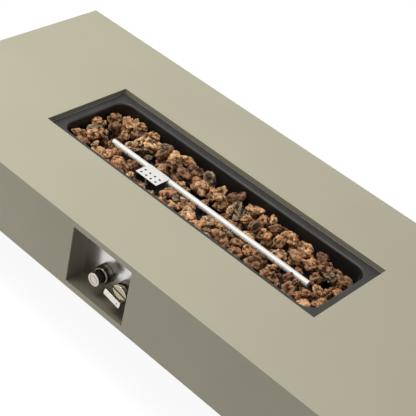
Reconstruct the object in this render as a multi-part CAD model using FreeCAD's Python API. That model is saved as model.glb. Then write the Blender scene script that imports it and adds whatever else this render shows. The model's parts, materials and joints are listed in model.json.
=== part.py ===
import FreeCAD, Part
import math
import os
import random

os.makedirs("parts", exist_ok=True)

V = FreeCAD.Vector

# A long low fire pit table: a sheet metal body on two plinth legs, a gas burner sunk in its top,
# a bed of lava rocks, and the gas controls in a niche in its front.
# The origin is on the floor under the middle of the table. X runs along it, the front is at -Y, Z is up.

# Table body
TABLE_LENGTH = 1800.0
TABLE_DEPTH = 800.0
TABLE_HEIGHT = 430.0
BODY_HEIGHT = 220.0
PANEL = 3.0
PANEL_RETURN = 28.0
CUTOUT_LENGTH = 998.0
CUTOUT_WIDTH = 308.0
CUTOUT_EDGE = 16.0

# Square tube frame inside the body
FRAME_TUBE = 25.0
FRAME_WALL = 2.0
INNER_CROSS_GAP = 41.0
OUTER_CROSS_INSET = 100.0

# Underside
COVER_SHEET = 2.0
COVER_INSET = 8.0
COVER_SCREW_COLUMNS = 8
HATCH_LENGTH = 340.0
HATCH_WIDTH = 300.0
HATCH_X = -70.0
HATCH_Y = -150.0
HATCH_OVERLAP = 18.0
VENT_LENGTH = 60.0
VENT_WIDTH = 8.0
VENT_PITCH = 24.0
VENT_COUNT = 6
VENT_X = 420.0
SCREW_RADIUS = 2.5
SCREW_HEAD_RADIUS = 4.8
SCREW_HEAD_HEIGHT = 2.4
SCREW_TAIL = 3.0
SCREW_CLEARANCE = 0.2

# Tray that holds the burner and the rocks
TRAY_GAP = 2.0
FLANGE_RECESS = 17.0
FLANGE_SHEET = 2.5
FLANGE_END_WIDTH = 29.2
FLANGE_SIDE_WIDTH = 29.2
TRAY_SHEET = 2.0
TRAY_DEPTH = 78.0
TRAY_CORNER = 40.0
TRAY_ROLL = 6.0
DRAIN_RADIUS = 4.0
DRAIN_X = 400.0
DRAIN_Y = 90.0
LEDGE_SHEET = 3.0
LEDGE_BEARING = 15.0

# Burner
TUBE_LENGTH = 750.0
TUBE_RADIUS = 9.5
TUBE_WALL = 1.5
TUBE_AXIS_BELOW_TOP = 63.0
PORT_COUNT = 23
PORT_PITCH = 31.5
PORT_RADIUS = 2.1
PORT_FIRST_INSET = 36.5
PORT_RISE_ANGLE = 5.0
PLUG_THICKNESS = 2.0
PLUG_INSET = 1.5
SADDLE_X = 300.0
SADDLE_SHEET = 2.0
SADDLE_WIDTH = 28.0
SADDLE_BASE = 24.0
SADDLE_BELOW_AXIS = 2.0
FIT_GAP = 0.1
MIXER_RADIUS = 8.0
MIXER_WALL = 1.5
MIXER_BELOW_TRAY = 56.0
MIXER_FLANGE_RADIUS = 13.5
MIXER_FLANGE_HEIGHT = 2.0
MIXER_AIR_RADIUS = 4.0
MIXER_NUT_FLATS = 32.0
MIXER_NUT_HEIGHT = 6.0
INJECTOR_RADIUS = 10.0
INJECTOR_HEIGHT = 26.0
INJECTOR_PORT_RADIUS = 7.0
INJECTOR_PORT_REACH = 22.0
INJECTOR_JET_RADIUS = 3.0
INJECTOR_JET_HEIGHT = 8.0
INJECTOR_THROAT_RADIUS = 1.0
INJECTOR_PORT_RISE = 3.0
GAS_PIPE_RADIUS = 5.0
GAS_PIPE_WALL = 1.0

# Pilot flame parts, in front of the burner tube
PILOT_X = -186.0
PILOT_Y = -35.0
PILOT_SPACING = 14.0
PILOT_SHEET = 2.0
PILOT_PLATE_LENGTH = 70.0
PILOT_PLATE_WIDTH = 34.0
PILOT_SLOT_LENGTH = 52.0
PILOT_SLOT_WIDTH = 18.0
PILOT_RADIUS = 4.0
PILOT_BORE = 1.5
PILOT_COLLAR = 2.5
PILOT_COLLAR_HEIGHT = 4.0
PILOT_SLOT_HEIGHT = 7.0
PILOT_HEAD_RADIUS = 6.0
PILOT_HEAD_HEIGHT = 12.0
PILOT_HEIGHT = 32.0
PILOT_TAIL = 16.0
PROBE_RADIUS = 3.0
PROBE_HEIGHT = 36.0
PROBE_COLLAR_RADIUS = 5.0
PROBE_COLLAR_HEIGHT = 8.0
CERAMIC_RADIUS = 3.5
CERAMIC_HEIGHT = 22.0
CERAMIC_COLLAR = 1.5
CERAMIC_COLLAR_HEIGHT = 5.0
SPARK_WIRE_RADIUS = 1.2
SPARK_WIRE_HEIGHT = 9.0
HOOD_LENGTH = 83.0
HOOD_FRONT_Y = -56.0
HOOD_BACK_Y = 3.0
HOOD_SHEET = 1.5
HOOD_HOLE_RADIUS = 3.6
HOOD_HOLE_PITCH = 19.0
HOOD_HOLE_COLUMNS = 4
HOOD_HOLE_FRONT_INSET = 11.0
HOOD_HOLE_ROW_PITCH = 17.0
HOOD_TAB = 12.0
HOOD_LEG_GAP = 2.0
HOOD_SEAT = 0.2

# Rock bed
ROCK_PITCH = 37.0
ROCK_UNEVENNESS = 0.25
ROCK_ROUGHNESS = 0.16
ROCK_GAP = 0.6
ROCK_LEAST = 15.0
ROCK_LOW_TOP = 66.0
ROCK_HIGH_TOP = 52.0
ROCK_WALL_GAP = 1.5
ROCK_TUBE_GAP = 3.0
ROCK_SEAT = 0.2
ROCK_SEED = 7

# Niche and control plate
NICHE_WIDTH = 216.0
NICHE_TOP_STRIP = 18.0
NICHE_BOTTOM_STRIP = 18.0
NICHE_DEPTH = 63.0
LINER_SHEET = 2.0
LINER_FLANGE = 10.0
PLATE_SHEET = 1.5

# Height of both controls, and the chrome bell round each one
CONTROLS_BELOW_TOP = 147.0
BELL_RADIUS = 27.2
BELL_FRONT_RADIUS = 21.4
BELL_MOUTH_RADIUS = 19.8
BELL_DEPTH = 24.0
BELL_SHOULDER = 9.0
BELL_WEB = 3.0
BELL_FOOT = 1.0
BELL_CURVE_STEPS = 6
BELL_BORE_GAP = 0.3

# Push button igniter
IGNITER_X = -25.0
BARREL_RADIUS = 17.5
BARREL_REACH = 38.4
BARREL_RIB_COUNT = 24
BARREL_RIB_DEPTH = 0.9
BARREL_RIB_INSET = 3.0
BARREL_THREAD_RADIUS = 13.0
BARREL_TAIL = 46.0
BATTERY_RADIUS = 5.2
BATTERY_LENGTH = 44.5
BATTERY_GAP = 0.4
CONTACT_SPACE = 8.0
IGNITER_NUT_FLATS = 32.0
IGNITER_NUT_HEIGHT = 6.0
PLUNGER_RADIUS = 14.0
PLUNGER_GAP = 0.05
PLUNGER_INSERT = 9.0
CAP_RADIUS = 19.8
CAP_THICKNESS = 4.0
CAP_RING_RADIUS = 11.0
CAP_RING_WIDTH = 2.0
CAP_RING_DEPTH = 1.0
CAP_TRAVEL = 5.0
CAP_SPARE = 1.0

# Gas valve and knob
VALVE_X = 55.5
VALVE_BLOCK = 34.0
VALVE_DEPTH = 46.0
VALVE_NECK_RADIUS = 9.0
VALVE_NECK_REACH = 12.0
VALVE_NUT_FLATS = 24.0
VALVE_NUT_HEIGHT = 5.0
PLUG_RADIUS = 8.0
PLUG_LENGTH = 32.0
PLUG_GAP = 0.05
PLUG_END_GAP = 0.3
PLUG_FLOOR = 4.0
PLUG_PORT_RADIUS = 3.5
SPINDLE_RADIUS = 4.0
SPINDLE_NECK_GAP = 0.3
SPINDLE_IN_KNOB = 12.0
SPINDLE_IN_PLUG = 16.0
MAGNET_RADIUS = 11.0
MAGNET_LENGTH = 24.0
PORT_FITTING_RADIUS = 8.0
PORT_FITTING_LENGTH = 10.0
PORT_Y_FROM_BLOCK_FRONT = 30.0
PILOT_FITTING_RADIUS = 4.5
PILOT_FITTING_LENGTH = 6.0
PILOT_FITTING_OFFSET = 12.0
SKIRT_RADIUS = 28.2
SKIRT_THICKNESS = 6.0
SKIRT_EDGE = 1.0
SKIRT_ROUND = 2.5
SKIRT_CURVE_STEPS = 4
KNOB_TRAVEL = 4.0
KNOB_SPARE = 0.5
GRIP_REACH = 30.4
GRIP_WIDTH = 19.6
GRIP_HEIGHT = 21.5
GRIP_ANGLE = -10.0
FACE_THICKNESS = 2.0
FACE_OVERHANG = 1.0
FACE_EDGE_RADIUS = 0.8
POINTER_RADIUS = 2.0
POINTER_DEPTH = 0.8
POINTER_INSET = 10.5

# Gas inlet under the body
INLET_X = 150.0
INLET_HEX_FLATS = 24.0
INLET_HEX_HEIGHT = 10.0
INLET_NECK_RADIUS = 9.0
INLET_THREAD_RADIUS = 8.3
INLET_THREAD_LENGTH = 18.0
INLET_NUT_HEIGHT = 6.0
INLET_BORE = 3.0

# Leads
THERMO_LEAD_RADIUS = 1.5
PILOT_PIPE_RADIUS = 2.0
PILOT_PIPE_WALL = 0.5
IGNITION_LEAD_RADIUS = 2.5
THERMO_LEAD_DROP = 72.0
PILOT_PIPE_DROP = 58.0
IGNITION_LEAD_DROP = 44.0
LEAD_FIRST_RUN = 50.0
LEAD_BEND_SHARE = 0.45
PIPE_BEND = 18.0
PIPE_STRAIGHT = 8.0
PIPE_JOG_RUN = 80.0

# Legs and levelling feet
LEG_INSET = 200.0
LEG_THICKNESS = 80.0
LEG_SETBACK = 100.0
LEG_GROUND_GAP = 12.0
LEG_BOLT_RADIUS = 4.0
LEG_BOLT_HEAD_FLATS = 13.0
LEG_BOLT_HEAD_HEIGHT = 5.3
LEG_BOLT_REACH = 22.0
LEG_BOLT_COUNT = 3
LEG_BOLT_INSET = 75.0
LEG_BOLT_CLEARANCE = 0.5
LEG_PLATE = 4.0
LEG_PLATE_OVERHANG = 35.0
RIVET_NUT_RADIUS = 5.5
RIVET_NUT_COLLAR = 7.5
RIVET_NUT_COLLAR_HEIGHT = 3.0
RIVET_NUT_LENGTH = 15.0
FOOT_INSET = 50.0
FOOT_STUD_RADIUS = 5.0
FOOT_STUD_TOP = 60.0
FOOT_DISC_RADIUS = 25.0
FOOT_DISC_TOP_RADIUS = 19.0
FOOT_DISC_EDGE = 3.0
FOOT_DISC_HEIGHT = 6.5
FOOT_NUT_FLATS = 17.0
FOOT_NUT_HEIGHT = 5.0
FOOT_BUSH_RADIUS = 10.0
FOOT_BUSH_HEIGHT = 20.0
FOOT_FIT_GAP = 0.05
FOOT_HOLE_GAP = 0.5

# Places that follow from the sizes above
TOP = TABLE_HEIGHT
BODY_BOTTOM = TABLE_HEIGHT - BODY_HEIGHT
PANEL_TOP = TOP - PANEL
HALF_LENGTH = TABLE_LENGTH / 2
HALF_DEPTH = TABLE_DEPTH / 2
INNER_X = HALF_LENGTH - PANEL
INNER_Y = HALF_DEPTH - PANEL
CUT_X = CUTOUT_LENGTH / 2
CUT_Y = CUTOUT_WIDTH / 2
INNER_CROSS_X = CUT_X + INNER_CROSS_GAP
OUTER_CROSS_X = HALF_LENGTH - OUTER_CROSS_INSET
RETURN_TOP = BODY_BOTTOM + PANEL
RETURN_Y = HALF_DEPTH - PANEL_RETURN
COVER_TOP = BODY_BOTTOM
COVER_Z = COVER_TOP - COVER_SHEET
LEG_TOP = COVER_Z
LEG_X = HALF_LENGTH - LEG_INSET
LEG_DEPTH = TABLE_DEPTH - 2 * LEG_SETBACK
LEG_BOLT_OFFSET = LEG_THICKNESS / 2 + LEG_PLATE_OVERHANG / 2
LEG_BOLT_PITCH = (LEG_DEPTH - 2 * LEG_BOLT_INSET) / (LEG_BOLT_COUNT - 1)
FOOT_Y = LEG_DEPTH / 2 - FOOT_INSET
FLANGE_TOP = TOP - FLANGE_RECESS
FLANGE_BOTTOM = FLANGE_TOP - FLANGE_SHEET
TRAY_FLOOR = FLANGE_TOP - TRAY_DEPTH
TRAY_UNDERSIDE = TRAY_FLOOR - TRAY_SHEET
PAN_X = CUT_X - FLANGE_END_WIDTH
PAN_Y = CUT_Y - FLANGE_SIDE_WIDTH
LEDGE_X = CUT_X + PANEL
LEDGE_Y = CUT_Y + PANEL
TUBE_Z = TOP - TUBE_AXIS_BELOW_TOP
NICHE_X = NICHE_WIDTH / 2
NICHE_BOTTOM = BODY_BOTTOM + NICHE_BOTTOM_STRIP
NICHE_TOP = TOP - NICHE_TOP_STRIP
PLATE_Y = -HALF_DEPTH + NICHE_DEPTH
PLATE_BACK = PLATE_Y + PLATE_SHEET
IGNITER_Z = TOP - CONTROLS_BELOW_TOP
VALVE_Z = TOP - CONTROLS_BELOW_TOP
PLUNGER_BACK_Y = PLATE_Y - BARREL_REACH + PLUNGER_INSERT
CAP_BACK = BARREL_REACH + CAP_TRAVEL + CAP_SPARE


def block(x, y, z):
    """A box from three (low, high) pairs."""
    return Part.makeBox(x[1] - x[0], y[1] - y[0], z[1] - z[0], V(x[0], y[0], z[0]))


def rod(radius, start, end):
    """A round bar between two points."""
    line = end - start
    return Part.makeCylinder(radius, line.Length, start, line)


def hexagon(flats, start, end):
    """A six sided bar between two points, one corner towards X or, on an X axis, towards Y."""
    line = end - start
    aside = V(0, 1, 0) if abs(line.x) > abs(line.y) + abs(line.z) else V(1, 0, 0)
    up = line.normalize().cross(aside)
    reach = flats / math.sqrt(3)
    corners = []
    for step in range(7):
        angle = math.radians(60 * step)
        corners.append(start + aside * (reach * math.cos(angle)) + up * (reach * math.sin(angle)))
    return Part.Face(Part.makePolygon(corners)).extrude(end - start)


def square_tube(x, y, z, axis):
    """A square section tube along one axis, 0 for X, 1 for Y and 2 for Z."""
    inside = [(low + FRAME_WALL, high - FRAME_WALL) for low, high in (x, y, z)]
    inside[axis] = ((x, y, z)[axis][0] - 1, (x, y, z)[axis][1] + 1)
    return block(x, y, z).cut(block(*inside))


def rounded_block(half_x, half_y, corner, low, high):
    """An upright block, centred on the Z axis, with rounded upright edges."""
    body = block((-half_x, half_x), (-half_y, half_y), (low, high))
    upright = [edge for edge in body.Edges if abs(edge.tangentAt(edge.FirstParameter).z) > 0.9]
    return body.makeFillet(corner, upright)


def turned(points, x, z):
    """A solid of revolution in front of the control plate, from (radius, distance) points."""
    corners = [V(x + radius, PLATE_Y - distance, z) for radius, distance in points]
    face = Part.Face(Part.makePolygon(corners + corners[:1]))
    return face.revolve(V(x, PLATE_Y, z), V(0, 1, 0), 360)


def lead_bend(before, corner, after):
    """The largest arc that the two runs at a flexible lead's corner leave room for."""
    back = before - corner
    ahead = after - corner
    return LEAD_BEND_SHARE * min(back.Length, ahead.Length) * math.tan(back.getAngle(ahead) / 2)


def bent_wire(points, bend=None):
    """Straight runs through the points, joined by tangent arcs of one radius or of the largest ones."""
    edges = []
    last = points[0]
    for before, corner, after in zip(points, points[1:], points[2:]):
        radius = bend or lead_bend(before, corner, after)
        back = (before - corner).normalize()
        ahead = (after - corner).normalize()
        half_angle = back.getAngle(ahead) / 2
        setback = radius / math.tan(half_angle)
        start = corner + back * setback
        end = corner + ahead * setback
        middle = corner + (back + ahead).normalize() * (radius / math.sin(half_angle) - radius)
        edges.append(Part.LineSegment(last, start).toShape())
        edges.append(Part.Arc(start, middle, end).toShape())
        last = end
    edges.append(Part.LineSegment(last, points[-1]).toShape())
    return Part.Wire(edges)


def swept(name, points, radius, bend=None, bore=0.0):
    """A round lead or pipe along a bent wire."""
    path = bent_wire(points, bend)
    start = points[0]
    along = points[1] - points[0]
    profile = Part.Wire(Part.makeCircle(radius, start, along))
    solid = path.makePipeShell([profile], True, False)
    if bore:
        hole = Part.Wire(Part.makeCircle(bore, start, along))
        solid = solid.cut(path.makePipeShell([hole], True, False))
    section = math.pi * (radius ** 2 - bore ** 2)
    bends = [round(edge.Curve.Radius, 1) for edge in path.Edges if isinstance(edge.Curve, Part.Circle)]
    share = solid.Volume / section / path.Length
    print(name, "volume over section times length:", round(share, 4), "bends:", bends)
    return solid


def save(name, *solids):
    """Writes one node: a single solid, or a group of separate ones."""
    shape = solids[0] if len(solids) == 1 else Part.makeCompound(list(solids))
    shape.exportStep("parts/" + name + ".step")


def mirrored(values):
    """Each value and its negative."""
    return [sign * value for value in values for sign in (-1, 1)]


# Body panels

def underside_screw_places():
    """Screws along the front and back returns, and round the service hatch."""
    y = HALF_DEPTH - PANEL_RETURN / 2
    step = 2 * (INNER_X - 2 * FRAME_TUBE) / (COVER_SCREW_COLUMNS - 1)
    columns = [(index - (COVER_SCREW_COLUMNS - 1) / 2) * step for index in range(COVER_SCREW_COLUMNS)]
    rows = [(x, side) for x in columns for side in (-y, y)]
    half_x = HATCH_LENGTH / 2 + HATCH_OVERLAP / 2
    half_y = HATCH_WIDTH / 2 + HATCH_OVERLAP / 2
    hatch = [(HATCH_X + sx * half_x, HATCH_Y + sy * half_y) for sx in (-1, 0, 1) for sy in (-1, 1)]
    return rows, hatch


def make_top_panel():
    sheet = block((-HALF_LENGTH, HALF_LENGTH), (-HALF_DEPTH, HALF_DEPTH), (PANEL_TOP, TOP))
    lip = block((-LEDGE_X, LEDGE_X), (-LEDGE_Y, LEDGE_Y), (TOP - CUTOUT_EDGE, TOP))
    hole = block((-CUT_X, CUT_X), (-CUT_Y, CUT_Y), (TOP - CUTOUT_EDGE - 1, TOP + 1))
    return sheet.fuse(lip).cut(hole).removeSplitter()


def make_long_panel(side):
    """Front (-1) or back (1) panel, with its return turned in at the bottom."""
    outer = side * HALF_DEPTH
    y = sorted((outer, outer - side * PANEL))
    wall = block((-HALF_LENGTH, HALF_LENGTH), y, (BODY_BOTTOM, PANEL_TOP))
    y_return = sorted((outer, outer - side * PANEL_RETURN))
    lip = block((-INNER_X, INNER_X), y_return, (BODY_BOTTOM, RETURN_TOP))
    return wall.fuse(lip).removeSplitter()


def make_front_panel():
    panel = make_long_panel(-1)
    opening = block((-NICHE_X, NICHE_X), (-HALF_DEPTH - 1, -INNER_Y + 1), (NICHE_BOTTOM, NICHE_TOP))
    return drilled_for_screws(panel.cut(opening), underside_screw_places()[0])


def make_end_panel(side):
    outer = side * HALF_LENGTH
    wall = block(sorted((outer, outer - side * PANEL)), (-INNER_Y, INNER_Y), (BODY_BOTTOM, PANEL_TOP))
    lip_x = sorted((outer - side * PANEL, outer - side * PANEL_RETURN))
    lip = block(lip_x, (-RETURN_Y, RETURN_Y), (BODY_BOTTOM, RETURN_TOP))
    return wall.fuse(lip).removeSplitter()


def drilled_for_screws(shape, places):
    radius = SCREW_RADIUS + SCREW_CLEARANCE
    for x, y in places:
        shape = shape.cut(rod(radius, V(x, y, COVER_Z - COVER_SHEET - 1), V(x, y, RETURN_TOP + 1)))
    return shape


def make_bottom_cover():
    """Sheet screwed up against the returns, with vents and a service opening."""
    edge_x = HALF_LENGTH - COVER_INSET
    edge_y = HALF_DEPTH - COVER_INSET
    cover = block((-edge_x, edge_x), (-edge_y, edge_y), (COVER_Z, COVER_TOP))
    z = (COVER_Z - 1, COVER_TOP + 1)
    half_x = HATCH_LENGTH / 2
    half_y = HATCH_WIDTH / 2
    cover = cover.cut(block((HATCH_X - half_x, HATCH_X + half_x), (HATCH_Y - half_y, HATCH_Y + half_y), z))
    for x in mirrored([VENT_X]):
        for index in range(VENT_COUNT):
            y = (index - (VENT_COUNT - 1) / 2) * VENT_PITCH
            slot_x = (x - VENT_LENGTH / 2, x + VENT_LENGTH / 2)
            cover = cover.cut(block(slot_x, (y - VENT_WIDTH / 2, y + VENT_WIDTH / 2), z))
    for x, y in leg_bolt_places():
        hole = LEG_BOLT_RADIUS + LEG_BOLT_CLEARANCE
        cover = cover.cut(rod(hole, V(x, y, z[0]), V(x, y, z[1])))
    inlet = rod(INLET_NECK_RADIUS + FIT_GAP, inlet_point(z[0]), inlet_point(z[1]))
    rows, hatch = underside_screw_places()
    return drilled_for_screws(cover.cut(inlet), rows + hatch)


def make_service_hatch():
    half_x = HATCH_LENGTH / 2 + HATCH_OVERLAP
    half_y = HATCH_WIDTH / 2 + HATCH_OVERLAP
    x = (HATCH_X - half_x, HATCH_X + half_x)
    y = (HATCH_Y - half_y, HATCH_Y + half_y)
    return drilled_for_screws(block(x, y, (COVER_Z - COVER_SHEET, COVER_Z)), underside_screw_places()[1])


def make_underside_screws():
    rows, hatch = underside_screw_places()
    screws = []
    for places, seat, thread_end in ((rows, COVER_Z, RETURN_TOP), (hatch, COVER_Z - COVER_SHEET, COVER_TOP)):
        for x, y in places:
            shank = rod(SCREW_RADIUS, V(x, y, seat), V(x, y, thread_end + SCREW_TAIL))
            head = rod(SCREW_HEAD_RADIUS, V(x, y, seat - SCREW_HEAD_HEIGHT), V(x, y, seat))
            screws.append(shank.fuse(head))
    return screws


# Inner frame

def make_corner_posts():
    posts = []
    for x in mirrored([INNER_X]):
        for y in mirrored([INNER_Y]):
            x_pair = sorted((x, x - math.copysign(FRAME_TUBE, x)))
            y_pair = sorted((y, y - math.copysign(FRAME_TUBE, y)))
            posts.append(square_tube(x_pair, y_pair, (RETURN_TOP, PANEL_TOP), 2))
    return posts


def make_cross_members():
    members = []
    z = (PANEL_TOP - FRAME_TUBE, PANEL_TOP)
    for x in mirrored([INNER_CROSS_X, OUTER_CROSS_X]):
        members.append(square_tube((x - FRAME_TUBE / 2, x + FRAME_TUBE / 2), (-INNER_Y, INNER_Y), z, 1))
    return members


def make_long_members():
    """Two members beside the cut-out, between the inner cross members."""
    half = INNER_CROSS_X - FRAME_TUBE / 2
    near = LEDGE_Y + LEDGE_SHEET
    members = []
    for side in (-1, 1):
        y = sorted((side * near, side * (near + FRAME_TUBE)))
        members.append(square_tube((-half, half), y, (PANEL_TOP - FRAME_TUBE, PANEL_TOP), 0))
    return members


def make_tray_ledges():
    """Angles welded round the folded edge of the cut-out, which carry the tray's flange."""
    outer_x = LEDGE_X + LEDGE_SHEET
    outer_y = LEDGE_Y + LEDGE_SHEET
    inner_x = CUT_X - TRAY_GAP - LEDGE_BEARING
    inner_y = CUT_Y - TRAY_GAP - LEDGE_BEARING
    shelf_z = (FLANGE_BOTTOM - LEDGE_SHEET, FLANGE_BOTTOM)
    wall_z = (FLANGE_BOTTOM, PANEL_TOP)
    ledges = []
    for side in (-1, 1):
        shelf = block((-outer_x, outer_x), sorted((side * inner_y, side * outer_y)), shelf_z)
        wall = block((-outer_x, outer_x), sorted((side * LEDGE_Y, side * outer_y)), wall_z)
        ledges.append(shelf.fuse(wall).removeSplitter())
    for side in (-1, 1):
        shelf = block(sorted((side * inner_x, side * outer_x)), (-inner_y, inner_y), shelf_z)
        wall = block(sorted((side * LEDGE_X, side * outer_x)), (-LEDGE_Y, LEDGE_Y), wall_z)
        ledges.append(shelf.fuse(wall).removeSplitter())
    return ledges


# Burner tray and burner

def flared_block(half_x, half_y, corner, roll, rim, low):
    """A rounded block that widens into a slab above the rim through a rolled edge."""
    neck = rounded_block(half_x, half_y, corner, low, rim + 1)
    reach = 2 * roll
    slab = block((-half_x - reach, half_x + reach), (-half_y - reach, half_y + reach), (rim, rim + 5))
    body = slab.fuse(neck).removeSplitter()
    edges = []
    for edge in body.Edges:
        box = edge.BoundBox
        at_rim = abs(box.ZMin - rim) < 1e-4 and abs(box.ZMax - rim) < 1e-4
        if at_rim and box.XMax < half_x + 1e-3 and box.XMin > -half_x - 1e-3 and \
                box.YMax < half_y + 1e-3 and box.YMin > -half_y - 1e-3:
            edges.append(edge)
    return body.makeFillet(roll, edges)


def make_burner_tray():
    out_x = CUT_X - TRAY_GAP
    out_y = CUT_Y - TRAY_GAP
    flange = rounded_block(out_x, out_y, TRAY_SHEET, FLANGE_BOTTOM, FLANGE_TOP)
    shell = rounded_block(PAN_X + TRAY_SHEET, PAN_Y + TRAY_SHEET, TRAY_CORNER + TRAY_SHEET,
                          TRAY_UNDERSIDE, FLANGE_BOTTOM + 1)
    roll_out = TRAY_ROLL - TRAY_SHEET
    outer = flared_block(PAN_X + TRAY_SHEET, PAN_Y + TRAY_SHEET, TRAY_CORNER + TRAY_SHEET, roll_out,
                         FLANGE_BOTTOM, TRAY_UNDERSIDE)
    keep = block((-out_x, out_x), (-out_y, out_y), (TRAY_UNDERSIDE - 1, FLANGE_TOP))
    solid = outer.common(keep).fuse(shell).fuse(flange)
    inner = flared_block(PAN_X, PAN_Y, TRAY_CORNER, TRAY_ROLL, FLANGE_TOP, TRAY_FLOOR)
    tray = solid.cut(inner).removeSplitter()
    z = (TRAY_UNDERSIDE - 1, TRAY_FLOOR + 1)
    tray = tray.cut(rod(MIXER_RADIUS + 0.5, V(0, 0, z[0]), V(0, 0, z[1])))
    half_x = PILOT_SLOT_LENGTH / 2
    half_y = PILOT_SLOT_WIDTH / 2
    tray = tray.cut(block((PILOT_X - half_x, PILOT_X + half_x), (PILOT_Y - half_y, PILOT_Y + half_y), z))
    for x in mirrored([DRAIN_X]):
        for y in mirrored([DRAIN_Y]):
            tray = tray.cut(rod(DRAIN_RADIUS, V(x, y, z[0]), V(x, y, z[1])))
    return tray


def make_burner_tube():
    half = TUBE_LENGTH / 2
    tube = rod(TUBE_RADIUS, V(-half, 0, TUBE_Z), V(half, 0, TUBE_Z))
    tube = tube.cut(rod(TUBE_RADIUS - TUBE_WALL, V(-half, 0, TUBE_Z), V(half, 0, TUBE_Z)))
    rise = math.radians(PORT_RISE_ANGLE)
    reach = TUBE_RADIUS + 1
    ports = []
    for index in range(PORT_COUNT):
        x = PORT_FIRST_INSET - half + index * PORT_PITCH
        for side in (-1, 1):
            tip = V(x, side * reach * math.cos(rise), TUBE_Z + reach * math.sin(rise))
            ports.append(rod(PORT_RADIUS, V(x, 0, TUBE_Z), tip))
    ports.append(rod(MIXER_RADIUS - MIXER_WALL, V(0, 0, TUBE_Z - reach), V(0, 0, TUBE_Z)))
    return tube.cut(Part.makeCompound(ports))


def make_end_plugs():
    radius = TUBE_RADIUS - TUBE_WALL
    plugs = []
    for side in (-1, 1):
        outer = side * (TUBE_LENGTH / 2 - PLUG_INSET)
        plugs.append(rod(radius, V(outer - side * PLUG_THICKNESS, 0, TUBE_Z), V(outer, 0, TUBE_Z)))
    return plugs


def make_saddles():
    saddles = []
    for x in mirrored([SADDLE_X]):
        base = block((x - SADDLE_WIDTH / 2, x + SADDLE_WIDTH / 2), (-SADDLE_BASE / 2, SADDLE_BASE / 2),
                     (TRAY_FLOOR, TRAY_FLOOR + SADDLE_SHEET))
        wall = block((x - SADDLE_SHEET / 2, x + SADDLE_SHEET / 2), (-SADDLE_BASE / 2, SADDLE_BASE / 2),
                     (TRAY_FLOOR, TUBE_Z - SADDLE_BELOW_AXIS))
        notch = rod(TUBE_RADIUS + FIT_GAP, V(x - SADDLE_WIDTH, 0, TUBE_Z), V(x + SADDLE_WIDTH, 0, TUBE_Z))
        saddles.append(base.fuse(wall).cut(notch).removeSplitter())
    return saddles


MIXER_BOTTOM = TRAY_UNDERSIDE - MIXER_BELOW_TRAY
INJECTOR_PORT_Z = MIXER_BOTTOM - INJECTOR_HEIGHT + INJECTOR_PORT_RADIUS + INJECTOR_PORT_RISE


def make_mixer_tube():
    """Upright air and gas tube from the injector to the middle of the burner tube."""
    tube = rod(MIXER_RADIUS, V(0, 0, MIXER_BOTTOM), V(0, 0, TUBE_Z))
    flange = rod(MIXER_FLANGE_RADIUS, V(0, 0, TRAY_FLOOR), V(0, 0, TRAY_FLOOR + MIXER_FLANGE_HEIGHT))
    tube = tube.fuse(flange)
    tube = tube.cut(rod(MIXER_RADIUS - MIXER_WALL, V(0, 0, MIXER_BOTTOM - 1), V(0, 0, TUBE_Z + 1)))
    air_z = MIXER_BOTTOM + INJECTOR_JET_HEIGHT + 2 * MIXER_AIR_RADIUS
    tube = tube.cut(rod(MIXER_AIR_RADIUS, V(-MIXER_RADIUS - 1, 0, air_z), V(MIXER_RADIUS + 1, 0, air_z)))
    return tube.cut(rod(TUBE_RADIUS + FIT_GAP, V(-40, 0, TUBE_Z), V(40, 0, TUBE_Z)))


def make_mixer_nut():
    low = V(0, 0, TRAY_UNDERSIDE - MIXER_NUT_HEIGHT)
    high = V(0, 0, TRAY_UNDERSIDE)
    return hexagon(MIXER_NUT_FLATS, low, high).cut(rod(MIXER_RADIUS + FIT_GAP, low, high))


def make_injector():
    low = MIXER_BOTTOM - INJECTOR_HEIGHT
    body = rod(INJECTOR_RADIUS, V(0, 0, low), V(0, 0, MIXER_BOTTOM))
    jet = rod(INJECTOR_JET_RADIUS, V(0, 0, MIXER_BOTTOM), V(0, 0, MIXER_BOTTOM + INJECTOR_JET_HEIGHT))
    port = rod(INJECTOR_PORT_RADIUS, V(0, -INJECTOR_PORT_REACH, INJECTOR_PORT_Z), V(0, 0, INJECTOR_PORT_Z))
    bore = GAS_PIPE_RADIUS - GAS_PIPE_WALL
    gas = rod(bore, V(0, -INJECTOR_PORT_REACH - 1, INJECTOR_PORT_Z), V(0, 0, INJECTOR_PORT_Z))
    jet_top = V(0, 0, MIXER_BOTTOM + INJECTOR_JET_HEIGHT + 1)
    throat = rod(INJECTOR_THROAT_RADIUS, V(0, 0, INJECTOR_PORT_Z), jet_top)
    return body.fuse(jet).fuse(port).cut(gas).cut(throat).removeSplitter()


# Pilot parts

def pilot_places():
    return PILOT_X - PILOT_SPACING, PILOT_X, PILOT_X + PILOT_SPACING


def make_pilot_bracket():
    half_x = PILOT_PLATE_LENGTH / 2
    half_y = PILOT_PLATE_WIDTH / 2
    z = (TRAY_FLOOR, TRAY_FLOOR + PILOT_SHEET)
    plate = block((PILOT_X - half_x, PILOT_X + half_x), (PILOT_Y - half_y, PILOT_Y + half_y), z)
    for x, radius in zip(pilot_places(), (CERAMIC_RADIUS, PILOT_RADIUS, PROBE_RADIUS)):
        hole = radius + FIT_GAP
        plate = plate.cut(rod(hole, V(x, PILOT_Y, z[0] - 1), V(x, PILOT_Y, z[1] + 1)))
    return plate


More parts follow.
